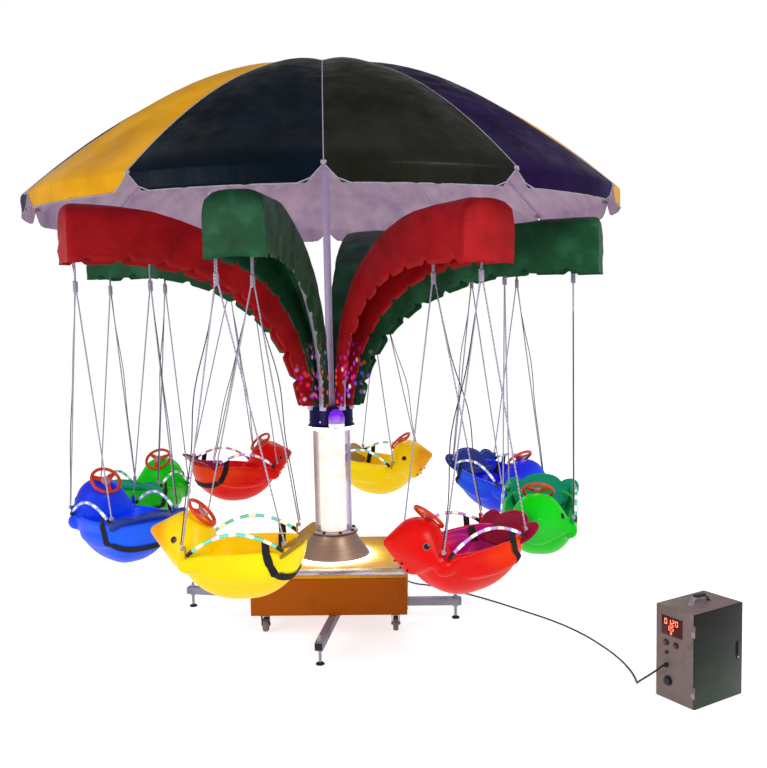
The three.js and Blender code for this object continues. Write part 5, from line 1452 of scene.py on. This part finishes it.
def fan_curve(inset, z, depth, bevel):
    """The fan's outline as a flat curve, filled, with a depth and a bevel where asked."""
    half = [(back, out, i == NOTCH or i == 0) for i, (back, out) in enumerate(TAIL_OUTLINE)]
    loop = half + [(back, -out, sharp) for back, out, sharp in half[-2::-1]]
    curve = bpy.data.curves.new("fan", "CURVE")
    curve.dimensions = "2D"
    curve.fill_mode = "BOTH"
    curve.extrude = depth
    curve.bevel_depth = bevel
    curve.bevel_resolution = 2
    curve.offset = -inset
    curve.resolution_u = 5
    spline = curve.splines.new("BEZIER")
    spline.bezier_points.add(len(loop) - 1)
    for spot, (back, out, sharp) in zip(spline.bezier_points, loop):
        spot.co = (-back, out, 0)
        spot.handle_left_type = spot.handle_right_type = "VECTOR" if sharp else "AUTO"
    spline.use_cyclic_u = True
    holder = bpy.data.objects.new("fan", curve)
    mesh = holder.to_mesh()
    shape = bmesh.new()
    shape.from_mesh(mesh)
    holder.to_mesh_clear()
    bpy.data.objects.remove(holder)
    bpy.data.curves.remove(curve)
    bmesh.ops.remove_doubles(shape, verts=shape.verts, dist=1e-5)
    shape.transform(Matrix.Translation((0, 0, z)))
    return shape


def curl(point):
    """How far the fan's corners lift, because the plate is curled a little."""
    return 0.25 * point.y**2 * max(0, -point.x) / 0.2


tail = fan_curve(0.004, TAIL_THICKNESS / 2, 0.003, 0.004)
bmesh.ops.recalc_face_normals(tail, faces=tail.faces)
for vert in tail.verts:
    vert.co.z += curl(vert.co)
tail.transform(TAIL_PLACE)
TAIL_MESH = bpy.data.meshes.new("tail")
tail.to_mesh(TAIL_MESH)
tail.free()

flat = fan_curve(0.015, 0, 0, 0)
rim = [e for e in flat.edges if e.is_boundary]
corner = rim[0].verts[0]
bead_line, last_edge = [], None
while True:
    bead_line.append(corner.co.copy())
    nearby = [e for e in corner.link_edges if e.is_boundary and e is not last_edge]
    last_edge = nearby[0]
    corner = last_edge.other_vert(corner)
    if (corner.co - bead_line[0]).length < 1e-6 or len(bead_line) > 400:
        break
flat.free()
bead_line = [TAIL_PLACE @ Vector((p.x, p.y, TAIL_THICKNESS + curl(p))) for p in bead_line if p.x < -0.03]
print("tail fan of", len(TAIL_MESH.polygons), "faces")

# %% [markdown]
# The steering wheel is a toy one: a round rim, three broad spokes and a domed hub. A spoke starts as one
# face, wide at the hub and narrow at the rim, is extruded to its thickness and gets its edges rounded.

# %% Steering wheel
WHEEL_PLACE = Matrix.Translation((0.165, 0, 0.372)) @ Matrix.Rotation(math.radians(-49), 4, "Y")
STEERING_RADIUS, STEERING_RIM = 0.070, 0.008
SPOKE = [(0.010, -0.015, -0.0032), (0.066, -0.0085, -0.0032), (0.066, 0.0085, -0.0032), (0.010, 0.015, -0.0032)]
HUB_DOME = [
    (0, -0.006), (0.021, -0.006), (0.024, -0.003), (0.024, 0.004), (0.021, 0.0075), (0.013, 0.0098), (0, 0.0105),
]
HUB_SCREW = [(0, 0.0106), (0.0075, 0.0106), (0.0075, 0.0118), (0.005, 0.0128), (0, 0.013)]
RIM_CIRCLE = [
    (STEERING_RADIUS + STEERING_RIM * math.cos(a), STEERING_RIM * math.sin(a))
    for a in (2 * math.pi * k / 12 for k in range(13))
]


def steering_wheel(bm):
    lathe(bm, RIM_CIRCLE, 48, Vector(), 0, WHEEL_PLACE)
    for angle in (60, 180, 300):
        plate(bm, SPOKE, (0, 0, 0.0064), 0.0016, 2, WHEEL_PLACE @ Matrix.Rotation(math.radians(angle), 4, "Z"))
    lathe(bm, HUB_DOME, 32, Vector(), 1, WHEEL_PLACE)
    lathe(bm, HUB_SCREW, 20, Vector(), 2, WHEEL_PLACE)
    bar(bm, WHEEL_PLACE @ Vector((0, 0, -0.005)), (0.222, 0, 0.322), 0.0085, end_radius=0.012)


print("steering wheel", 2 * (STEERING_RADIUS + STEERING_RIM), "m across")

# %% [markdown]
# A strip of lamps in a clear hose arches over each side of the tub. The hose is a run of short tubes here,
# lit ones and clear ones in turn, between two black ends. A black belt hangs from the rim at both sides and
# goes round the back of the hull below the tail. Its middle line is laid down as angles and heights on the
# hull's formula and smoothed, and then a grid of its real width is drawn on to the moulding's skin.

# %% Lamp strips and belts
STRIP_RADIUS, STRIP_LAMPS, LIT_SHARE = 0.0078, 5, 0.42
STRIP_ENDS, STRIP_FRONT, STRIP_LENGTH = 0.06, 0.190, 0.390
STRIP_LIGHTS = {
    "blue": (STRIP_WHITE, STRIP_WHITE, STRIP_PALE), "yellow": (STRIP_CREAM, STRIP_WHITE, STRIP_TEAL),
    "red": (STRIP_WHITE, STRIP_CREAM, STRIP_LILAC), "green": (STRIP_WHITE, STRIP_WHITE, STRIP_TEAL),
}
BELT_WIDTH, BELT_THICKNESS = 0.032, 0.0022
INNER_STRAP = (0.115, 0.165), (0.135, 0.232)
BELT_LINE = [(118, 0.226), (120, 0.190), (123, 0.150), (132, 0.122), (148, 0.110), (165, 0.106), (180, 0.105)]


def strip_point(share, side):
    """A point of the lamp hose, from behind the wing over the tub's side to the tail."""
    bow = math.sin(math.pi * share)
    across, up = 0.172 - 0.004 * share + 0.006 * bow, 0.232 + 0.078 * bow**0.85
    return Vector((STRIP_FRONT - STRIP_LENGTH * share, side * across, up))


def hose(bm, side, start, end, material, swell=1.0):
    points = [strip_point(start + (end - start) * step / 4, side) for step in range(5)]
    tube(bm, points, STRIP_RADIUS * swell, 12, material=material)


def lamp_strips(bm):
    pitch = (1 - 2 * STRIP_ENDS) / STRIP_LAMPS
    for side in (-1, 1):
        hose(bm, side, 0, STRIP_ENDS, 0, 1.12)
        hose(bm, side, 1 - STRIP_ENDS, 1, 0, 1.12)
        for lamp in range(STRIP_LAMPS):
            start = STRIP_ENDS + lamp * pitch
            lit = start + pitch * (1 - LIT_SHARE) / 2
            hose(bm, side, start, lit, 3, 0.96)
            hose(bm, side, lit, lit + pitch * LIT_SHARE, 1 + lamp % 2)
            hose(bm, side, lit + pitch * LIT_SHARE, start + pitch, 3, 0.96)


def hull_point(turn, height):
    """A point on the hull at an angle in degrees from the heading and at a height."""
    x, y = math.cos(math.radians(turn)), math.sin(math.radians(turn))
    level = math.sqrt(max(0, 1 - ((height - HULL["at"][2]) / HULL["high"]) ** 2))
    swell = rounded_plan(x, y, HULL["square"]) * level
    return Vector((x * swell * (HULL["front"] if x > 0 else HULL["rear"]), y * swell * HULL["half"], height))


def belt_line(steps=72):
    """The belt's middle from rim to rim, evenly spaced and smoothed."""
    both = BELT_LINE + [(360 - turn, height) for turn, height in BELT_LINE[-2::-1]]
    corners = [hull_point(*pair) for pair in both]
    shares = [k * (len(corners) - 1) / steps for k in range(steps + 1)]
    starts = [min(int(share), len(corners) - 2) for share in shares]
    line = [corners[first].lerp(corners[first + 1], share - first) for first, share in zip(starts, shares)]
    for _ in range(20):
        line[1:-1] = [(before + 2 * here + after) / 4 for before, here, after in zip(line, line[1:], line[2:])]
    return line


def belt(bm):
    line = belt_line()
    strap = bmesh.new()
    bmesh.ops.create_grid(strap, x_segments=len(line) - 1, y_segments=3, size=0.5)
    for vert in strap.verts:
        step = round((vert.co.x + 0.5) * (len(line) - 1))
        along = (line[min(step + 1, len(line) - 1)] - line[max(step - 1, 0)]).normalized()
        skin, outward, _, _ = shell_tree.find_nearest(line[step])
        wanted = skin + outward.cross(along) * vert.co.y * BELT_WIDTH
        skin, normal, _, _ = shell_tree.find_nearest(wanted)
        vert.co = skin + normal * (BELT_THICKNESS + 0.0030)
    bmesh.ops.solidify(strap, geom=strap.faces[:], thickness=BELT_THICKNESS)
    bmesh.ops.recalc_face_normals(strap, faces=strap.faces)
    take_in(bm, strap)
    for side, end in ((1, line[0]), (-1, line[-1])):
        skin, outward, _, _ = shell_tree.find_nearest(end)
        on_strip = strip_point((STRIP_FRONT - end.x) / STRIP_LENGTH, side)
        flat_strap(bm, skin + outward * 0.004 - Vector((0, 0, 0.004)), on_strip)
        inside = [shell_tree.find_nearest(Vector((end.x, side * y, z))) for y, z in INNER_STRAP]
        flat_strap(bm, *(spot + normal * 0.0075 for spot, normal, _, _ in inside))


def flat_strap(bm, low, high):
    """A short flat strap that stands nearly upright between two points."""
    up = (high - low).normalized()
    fore = (Vector((1, 0, 0)) - up * up.x).normalized()
    turn = Matrix((fore, up.cross(fore), up)).transposed().to_4x4()
    block(bm, (BELT_WIDTH, BELT_THICKNESS, (high - low).length), (low + high) / 2, 0.0008, turn=turn)


print("belt line through", len(belt_line()), "points")

# %% [markdown]
# Every shell keeps the point that it had in the bird's own frame in an attribute, so that one material can
# paint the beak, the lit hull and the shaded tub of all eight birds wherever they hang.

# %% Seats
def bird_place(mesh):
    """Stores each point's place in the bird's own frame."""
    layer = mesh.attributes.new("bird_place", "FLOAT_VECTOR", "POINT")
    layer.data.foreach_set("vector", [value for vert in mesh.vertices for value in vert.co])


def tub_share(mesh):
    """Stores how far inside the tub's rear each point lies: one on its wall, none on the hull."""
    shares = []
    for x, y, z in (vert.co for vert in mesh.vertices):
        length = TUB["front"] if x > 0 else TUB["rear"]
        flat = (abs(x / length) ** TUB["square"] + abs(y / TUB["half"]) ** TUB["square"]) ** (2 / TUB["square"])
        ball = flat + ((z - TUB["at"][2]) / TUB["high"]) ** 2
        rear = min(max((0.06 - x) / 0.12, 0), 1)
        shares.append(rear * min(max((1.13 - ball) / 0.08, 0), 1) if z < SEAT_RIM + 0.004 else 0.0)
    mesh.attributes.new("tub_share", "FLOAT", "POINT").data.foreach_set("value", shares)


for mesh in (SHELL_MESH, TAIL_MESH):
    bird_place(mesh)
tub_share(SHELL_MESH)
EYE_AT = (0.258, 0.288)
EYE_RING = [(0, -0.003), (0.0150, -0.003), (0.0150, 0.0006), (0.0140, 0.0014), (0, 0.0014)]
PUPIL = [(0, 0.0014), (0.0120, 0.0014), (0.0117, 0.0026), (0.0085, 0.0040), (0, 0.0048)]
EYE_RINGS = {"blue": EYE_TEAL, "yellow": EYE_BROWN, "red": EYE_TEAL, "green": EYE_DARK}
BOLTS, BOLTED = [(0.352, 0.205), (0.330, 0.168)], (3, 6, 7)


def eyes_and_lugs(bm, bolted):
    """Both eyes, the lugs for the ropes and, on some birds, the bolts under the beak."""
    for side in (-1, 1):
        spot, normal, _, _ = shell_tree.ray_cast(Vector((EYE_AT[0], side * 0.4, EYE_AT[1])), Vector((0, -side, 0)))
        facing = Matrix.Translation(spot) @ normal.to_track_quat("Z", "Y").to_matrix().to_4x4()
        lathe(bm, EYE_RING, 32, Vector(), 0, facing)
        lathe(bm, PUPIL, 28, Vector(), 1, facing)
        for x, z in BOLTS if bolted else []:
            spot, normal, _, _ = shell_tree.find_nearest(Vector((x, side * 0.035, z)))
            bar(bm, spot - normal * 0.004, spot + normal * 0.0080, 0.0046, 6, round_by=0.0008, material=1)
        for end in (-1, 1):
            block(bm, (0.005, 0.020, 0.063), (end * 0.200, side * 0.159, 0.2385), 0.0022, material=2)


def seat_piece(i, what, make, materials, crease, replaces=()):
    """Makes one piece in the bird's own frame and hangs it in its seat's place."""
    bm = bmesh.new()
    make(bm)
    bm.transform(seat_world(i))
    finish_piece(f"bird_{i + 1}_{what}", bm, f"seat_{i + 1}", materials, replaces, crease)


for i, colour in enumerate(SEAT_COLOURS):
    slot, tail_paint = f"{colour}_plastic", TAILS[colour]
    # on blue birds the bead is painted pale: a painted highlight along the tail's edge
    bead_paint = TAIL_BEAD_HIGHLIGHT if colour == "blue" else tail_paint
    fittings = [EYE_RINGS[colour], EYE_DARK, tail_paint]
    strips = [BLACK_PLASTIC, *STRIP_LIGHTS[colour]]
    seat_piece(i, "shell", lambda bm: bm.from_mesh(SHELL_MESH), [SHELLS[colour]], 60, [f"seat_{i + 1}"])
    seat_piece(i, "tail_fan", lambda bm: bm.from_mesh(TAIL_MESH), [tail_paint], 50)
    seat_piece(i, "tail_bead", lambda bm: tube(bm, bead_line, 0.0016), [bead_paint], 40)
    seat_piece(i, "steering_wheel", steering_wheel, [STEERING_RED, HUB_PINK, ZINC], 35)
    seat_piece(i, "lamp_strips", lamp_strips, strips, 50)
    seat_piece(i, "belt", belt, [WEBBING], 50)
    seat_piece(i, "eyes_and_lugs", lambda bm: eyes_and_lugs(bm, i + 1 in BOLTED), fittings, 35)
print("eight birds made")

# %% [markdown]
# ## The ropes
#
# Two strands run side by side from each eye on the arm down to a knot, where they part to the seat's two
# ends. The knot is a whipping of thin cord, wound tightly round both strands. A black wire for the lamps
# hangs beside the outer rope, tied to it at the knot. The ropes hold the seats up, so they are taut.

# %% Ropes
KNOT_Z, ROPE_RADIUS, LOWER_PIVOT = 1.746, 0.0034, 0.262
WIRE_RADIUS = 0.0024


def wound(start, end, radius, turns, steps):
    """Points of a winding round the line between two points."""
    along = end - start
    side = along.orthogonal().normalized()
    other = along.cross(side).normalized()
    points = []
    for k in range(steps + 1):
        angle = 2 * math.pi * turns * k / steps
        points.append(start + along * (k / steps) + (side * math.cos(angle) + other * math.sin(angle)) * radius)
    return points


def slack(start, end, belly, towards):
    """Points of a wire that hangs beside a rope, a little away from it at the middle."""
    shares = [k / 24 for k in range(25)]
    bends = [math.sin(math.pi * s) ** 2 * (1 + 0.6 * math.sin(3 * math.pi * s + belly * 400)) for s in shares]
    return [start.lerp(end, s) + towards * (0.005 + belly * bend) for s, bend in zip(shares, bends)]


def rope_set(bm, i, side):
    hanging, seat = hanging_frame(i), seat_world(i)
    top = hanging @ rope_top(i, side)
    knot = Vector((top.x, top.y, KNOT_Z))
    fore, aft = (seat @ Vector((x, side * ROPE_SPACING, LOWER_PIVOT)) for x in (ROPE_REACH, -ROPE_REACH))
    along = (fore - aft).normalized()
    for shift, low in ((0.0037, fore), (-0.0037, aft)):
        at_knot = knot + along * shift
        tube(bm, [top + along * shift + Vector((0, 0, -0.006)), at_knot, low], ROPE_RADIUS, 8)
    tube(bm, wound(knot + Vector((0, 0, 0.026)), knot + Vector((0, 0, -0.022)), 0.0088, 9, 108), 0.0030, 6)
    bar(bm, knot + Vector((0, 0, 0.024)), knot + Vector((0, 0, -0.020)), 0.0085, 12)
    for spot, radius, half, metal in ((top, 0.0088, 0.0108, 1), (fore, 0.0068, 0.0068, 0), (aft, 0.0068, 0.0068, 0)):
        bar(bm, spot - along * half, spot + along * half, radius, 16, round_by=0.0022, material=metal)
        tube(bm, wound(spot - along * half * 0.62, spot + along * half * 0.62, radius + 0.001, 3, 48), 0.0021, 6)
    foot = fore if side > 0 else aft
    low = slack(foot + Vector((0, 0, 0.016)), knot + Vector((0, 0, -0.024)), 0.014 + 0.006 * (i % 3), along * side)
    high = slack(knot + Vector((0, 0, 0.030)), top + Vector((0, 0, -0.014)), 0.012, along * side)
    tube(bm, low + high, WIRE_RADIUS, 6, material=2)


for i in range(8):
    for side, where in ((1, "outer"), (-1, "inner")):
        bm = bmesh.new()
        rope_set(bm, i, side)
        finish_piece(
            f"bird_{i + 1}_{where}_rope", bm, f"ropes_{where}_{i + 1}", [ROPE, ZINC, LAMP_WIRE],
            [f"ropes_{where}_{i + 1}"], 40,
        )
print("ropes made")

# %% [markdown]
# ## The control cabinet
#
# The cabinet is a steel box, folded and painted, with a door in one long side. The front panel has a display
# with red digits, two round buttons and a small one, the cable's gland and a round socket. The case starts
# as a cube. Its open side is inset for the wall and extruded inwards for the hollow. The digits are the
# seven bars of a plain numeric display.

# %% Cabinet case
WIDE, DEEP, HIGH = 0.293, 0.197, 0.389
DOOR, WALL, HINGE_HEIGHTS = 0.008, 0.008, (0.070, 0.320)
bm = bmesh.new()
case = bmesh.new()
bmesh.ops.create_cube(case, size=1, matrix=Matrix.Diagonal((WIDE, DEEP - DOOR, HIGH, 1)))
opening = [f for f in case.faces if f.normal.y < -0.5]
bmesh.ops.inset_individual(case, faces=opening, thickness=WALL, depth=0)
inner = bmesh.ops.extrude_discrete_faces(case, faces=opening)["faces"][0]
bmesh.ops.translate(case, verts=inner.verts, vec=(0, DEEP - DOOR - WALL, 0))
round_edges(case, case.edges, 0.0018)
take_in(bm, case, Matrix.Translation((0, DOOR / 2, HIGH / 2)))
FRONT = -WIDE / 2
block(bm, (0.004, 0.106, 0.078), (FRONT - 0.0008, 0.016, 0.310), 0.0016, material=3)
block(bm, (0.002, 0.096, 0.068), (FRONT - 0.0022, 0.016, 0.310), 0.0006, material=1)
SEGMENTS = {"0": "abcdef", "1": "bc", "2": "abged", "5": "afgcd", "8": "abcdefg"}
BARS = {
    "a": (0, 1, 1), "b": (0.5, 0.5, 0), "c": (0.5, -0.5, 0), "d": (0, -1, 1), "e": (-0.5, -0.5, 0),
    "f": (-0.5, 0.5, 0), "g": (0, 0, 1),
}
for text, height, tall in (("0120", 0.328, 0.0105), ("05", 0.303, 0.0085), ("8", 0.284, 0.0060)):
    for k, digit in enumerate(text):
        middle_y = 0.018 - (k - (len(text) - 1) / 2) * tall * 1.75
        for bar_name in SEGMENTS[digit]:
            across, up, flat_bar = BARS[bar_name]
            size = (0.0012, tall * 0.92, tall * 0.24) if flat_bar else (0.0012, tall * 0.24, tall * 0.86)
            block(bm, size, (FRONT - 0.0036, middle_y - across * tall, height + up * tall), material=2)
for y, z, radius in ((0.045, 0.238, 0.013), (-0.005, 0.238, 0.013), (0.042, 0.197, 0.008)):
    bar(bm, (FRONT + 0.001, y, z), (FRONT - 0.0035, y, z), radius, 28, round_by=0.0012, material=3)
    bar(bm, (FRONT - 0.003, y, z), (FRONT - 0.0095, y, z), radius * 0.76, 24, round_by=0.0014, material=4)
bar(bm, (FRONT + 0.002, 0.042, 0.144), (FRONT - 0.006, 0.042, 0.144), 0.0105, 6, round_by=0.001, material=3)
bar(bm, (FRONT - 0.005, 0.042, 0.144), (FRONT - 0.0160, 0.042, 0.144), 0.0085, 20, end_radius=0.0062, round_by=0.001,
    material=3)
bar(bm, (FRONT + 0.001, 0.034, 0.080), (FRONT - 0.0040, 0.034, 0.080), 0.0205, 36, round_by=0.0012, material=3)
bar(bm, (FRONT - 0.003, 0.034, 0.080), (FRONT - 0.0125, 0.034, 0.080), 0.0165, 32, round_by=0.0014, material=3)
bm.transform(cabinet_frame)
finish_piece(
    "cabinet_case", bm, "stand", [CABINET_PAINT, DISPLAY_GLASS, DIGITS, BLACK_PLASTIC, BUTTON_DARK],
    ["control_cabinet"], 30,
)
print("cabinet", WIDE, "by", DEEP, "by", HIGH, "m")

# %% [markdown]
# The carrying handle is bent from a strip and screwed down through a foot at each end. The door lies over
# the whole side. It hangs on two barrel hinges at the front edge, and has a flush latch near the other.

# %% Handle, hinges and door
bm = bmesh.new()
path = [(-0.066, HIGH + 0.0030), (-0.056, HIGH + 0.004), (-0.050, HIGH + 0.012), (-0.040, HIGH + 0.0265),
        (-0.020, HIGH + 0.0315), (0, HIGH + 0.0322), (0.020, HIGH + 0.0315), (0.040, HIGH + 0.0265),
        (0.050, HIGH + 0.012), (0.056, HIGH + 0.004), (0.066, HIGH + 0.0030)]
strip = bmesh.new()
bmesh.ops.create_grid(strip, x_segments=len(path) - 1, y_segments=2, size=0.5)
for vert in strip.verts:
    step = round((vert.co.x + 0.5) * (len(path) - 1))
    vert.co = Vector((path[step][0], vert.co.y * 0.024, path[step][1]))
bmesh.ops.solidify(strip, geom=strip.faces[:], thickness=0.0030)
bmesh.ops.recalc_face_normals(strip, faces=strip.faces)
round_edges(strip, [e for e in strip.edges if len(e.link_faces) == 2 and e.calc_face_angle(0) > 1.2], 0.0008)
take_in(bm, strip, Matrix.Translation((0, 0, -0.0012)))
block(bm, (0.060, 0.026, 0.011), (0, 0, HIGH + 0.0300), 0.005, material=1, segments=3)
for end in (-0.062, 0.062):
    bar(bm, (end, 0, HIGH), (end, 0, HIGH + 0.0056), 0.0046, 20, round_by=0.0012, material=2)
for height in HINGE_HEIGHTS:
    block(bm, (0.0028, 0.014, 0.020), (FRONT - 0.0014, -DEEP / 2 + 0.0100, height - 0.012), 0.0006)
    bar(bm, (FRONT - 0.003, -DEEP / 2 + 0.002, height - 0.024), (FRONT - 0.003, -DEEP / 2 + 0.002, height - 0.0006),
        0.0034, 14)
bm.transform(cabinet_frame)
finish_piece("cabinet_handle", bm, "stand", [GREY_POWDER, BLACK_PLASTIC, ZINC], crease=35)

bm = bmesh.new()
LEAF, LATCH_X = 0.0077, WIDE / 2 - 0.030
block(bm, (WIDE - 0.002, LEAF, HIGH - 0.002), (0, (LEAF - DEEP) / 2, HIGH / 2), 0.0022, segments=3)
block(bm, (0.016, 0.0026, 0.074), (LATCH_X, -DEEP / 2 - 0.0008, HIGH / 2), 0.0009, material=1)
block(bm, (0.011, 0.0046, 0.052), (LATCH_X, -DEEP / 2 - 0.0030, HIGH / 2 + 0.004), 0.0018, material=1)
bar(bm, (LATCH_X, -DEEP / 2 - 0.001, HIGH / 2 - 0.030), (LATCH_X, -DEEP / 2 - 0.0045, HIGH / 2 - 0.030), 0.0042, 20,
    round_by=0.0008, material=2)
for height in HINGE_HEIGHTS:
    bar(bm, (FRONT - 0.003, -DEEP / 2 + 0.002, height), (FRONT - 0.003, -DEEP / 2 + 0.002, height + 0.024), 0.0048, 16,
        round_by=0.0008, material=3)
bm.transform(cabinet_frame)
finish_piece(
    "cabinet_door_leaf", bm, "cabinet_door", [DOOR_PAINT, BLACK_PLASTIC, ZINC, CABINET_PAINT], ["cabinet_door"],
    30,
)
print("door and handle made")

# %% [markdown]
# ## Floor and light
#
# The picture has a pure white ground and soft light from all sides, with the object's own lamps adding
# colour. A large pale floor, an even white world and three broad area lights give that. The key light comes
# from the upper right, where the creases of the canopy shine.

# %% Floor and light
SEEN_GLOW, LIGHTING_GLOW = 0.72, 0.36
SEEN_WORLD, LIGHTING_WORLD = 1.0, 0.42


def pale_floor():
    material, tree, place = start_material("pale seamless paper")
    tooth = add(tree, "TexNoise", {"Scale": 1000 / 40, "Detail": 3}, {"Vector": place})
    tint = add(tree, "ValToRGB", {"stops": [(0.3, "#DCDCDC"), (0.7, "#E2E2E2")]}, {"Fac": tooth})
    seen = add(tree, "LightPath").outputs["Is Camera Ray"]
    glow = add(tree, "MapRange", {3: LIGHTING_GLOW, 4: SEEN_GLOW}, {0: seen})
    settings = {"Roughness": 0.9, "Emission Color": "#FFFFFF"}
    shader = add(tree, "BsdfPrincipled", settings, {"Base Color": tint, "Emission Strength": glow})
    add(tree, "OutputMaterial", links={"Surface": shader})
    return material


bm = bmesh.new()
bmesh.ops.create_grid(bm, x_segments=1, y_segments=1, size=14)
floor = make_object("floor", bm)
floor.data.materials.append(pale_floor())

world = bpy.data.worlds.new("studio")
world.use_nodes = True
background = next(n for n in world.node_tree.nodes if n.type == "BACKGROUND")
seen = add(world.node_tree, "LightPath").outputs["Is Camera Ray"]
strength = add(world.node_tree, "MapRange", {3: LIGHTING_WORLD, 4: SEEN_WORLD}, {0: seen})
world.node_tree.links.new(strength.outputs[0], background.inputs["Strength"])
background.inputs["Color"].default_value = (1, 1, 1, 1)
bpy.context.scene.world = world
bpy.context.scene.view_settings.view_transform = "Standard"


def area_light(name, place, target, size, power):
    """A white square light that faces a target."""
    data = bpy.data.lights.new(name, "AREA")
    data.size = size
    data.energy = power
    light = bpy.data.objects.new(name, data)
    light.location = place
    light.rotation_euler = (Vector(target) - Vector(place)).to_track_quat("-Z", "Y").to_euler()
    bpy.context.collection.objects.link(light)


area_light("key", (3.0, -3.8, 4.4), (0, 0, 1.5), 1.8, 120)
area_light("fill", (-3.6, -3.6, 2.2), (0, 0, 1.3), 2.5, 70)
area_light("back", (0.5, 4.0, 4.0), (0, 0, 1.5), 3.0, 60)
print("lights:", len(bpy.data.lights))
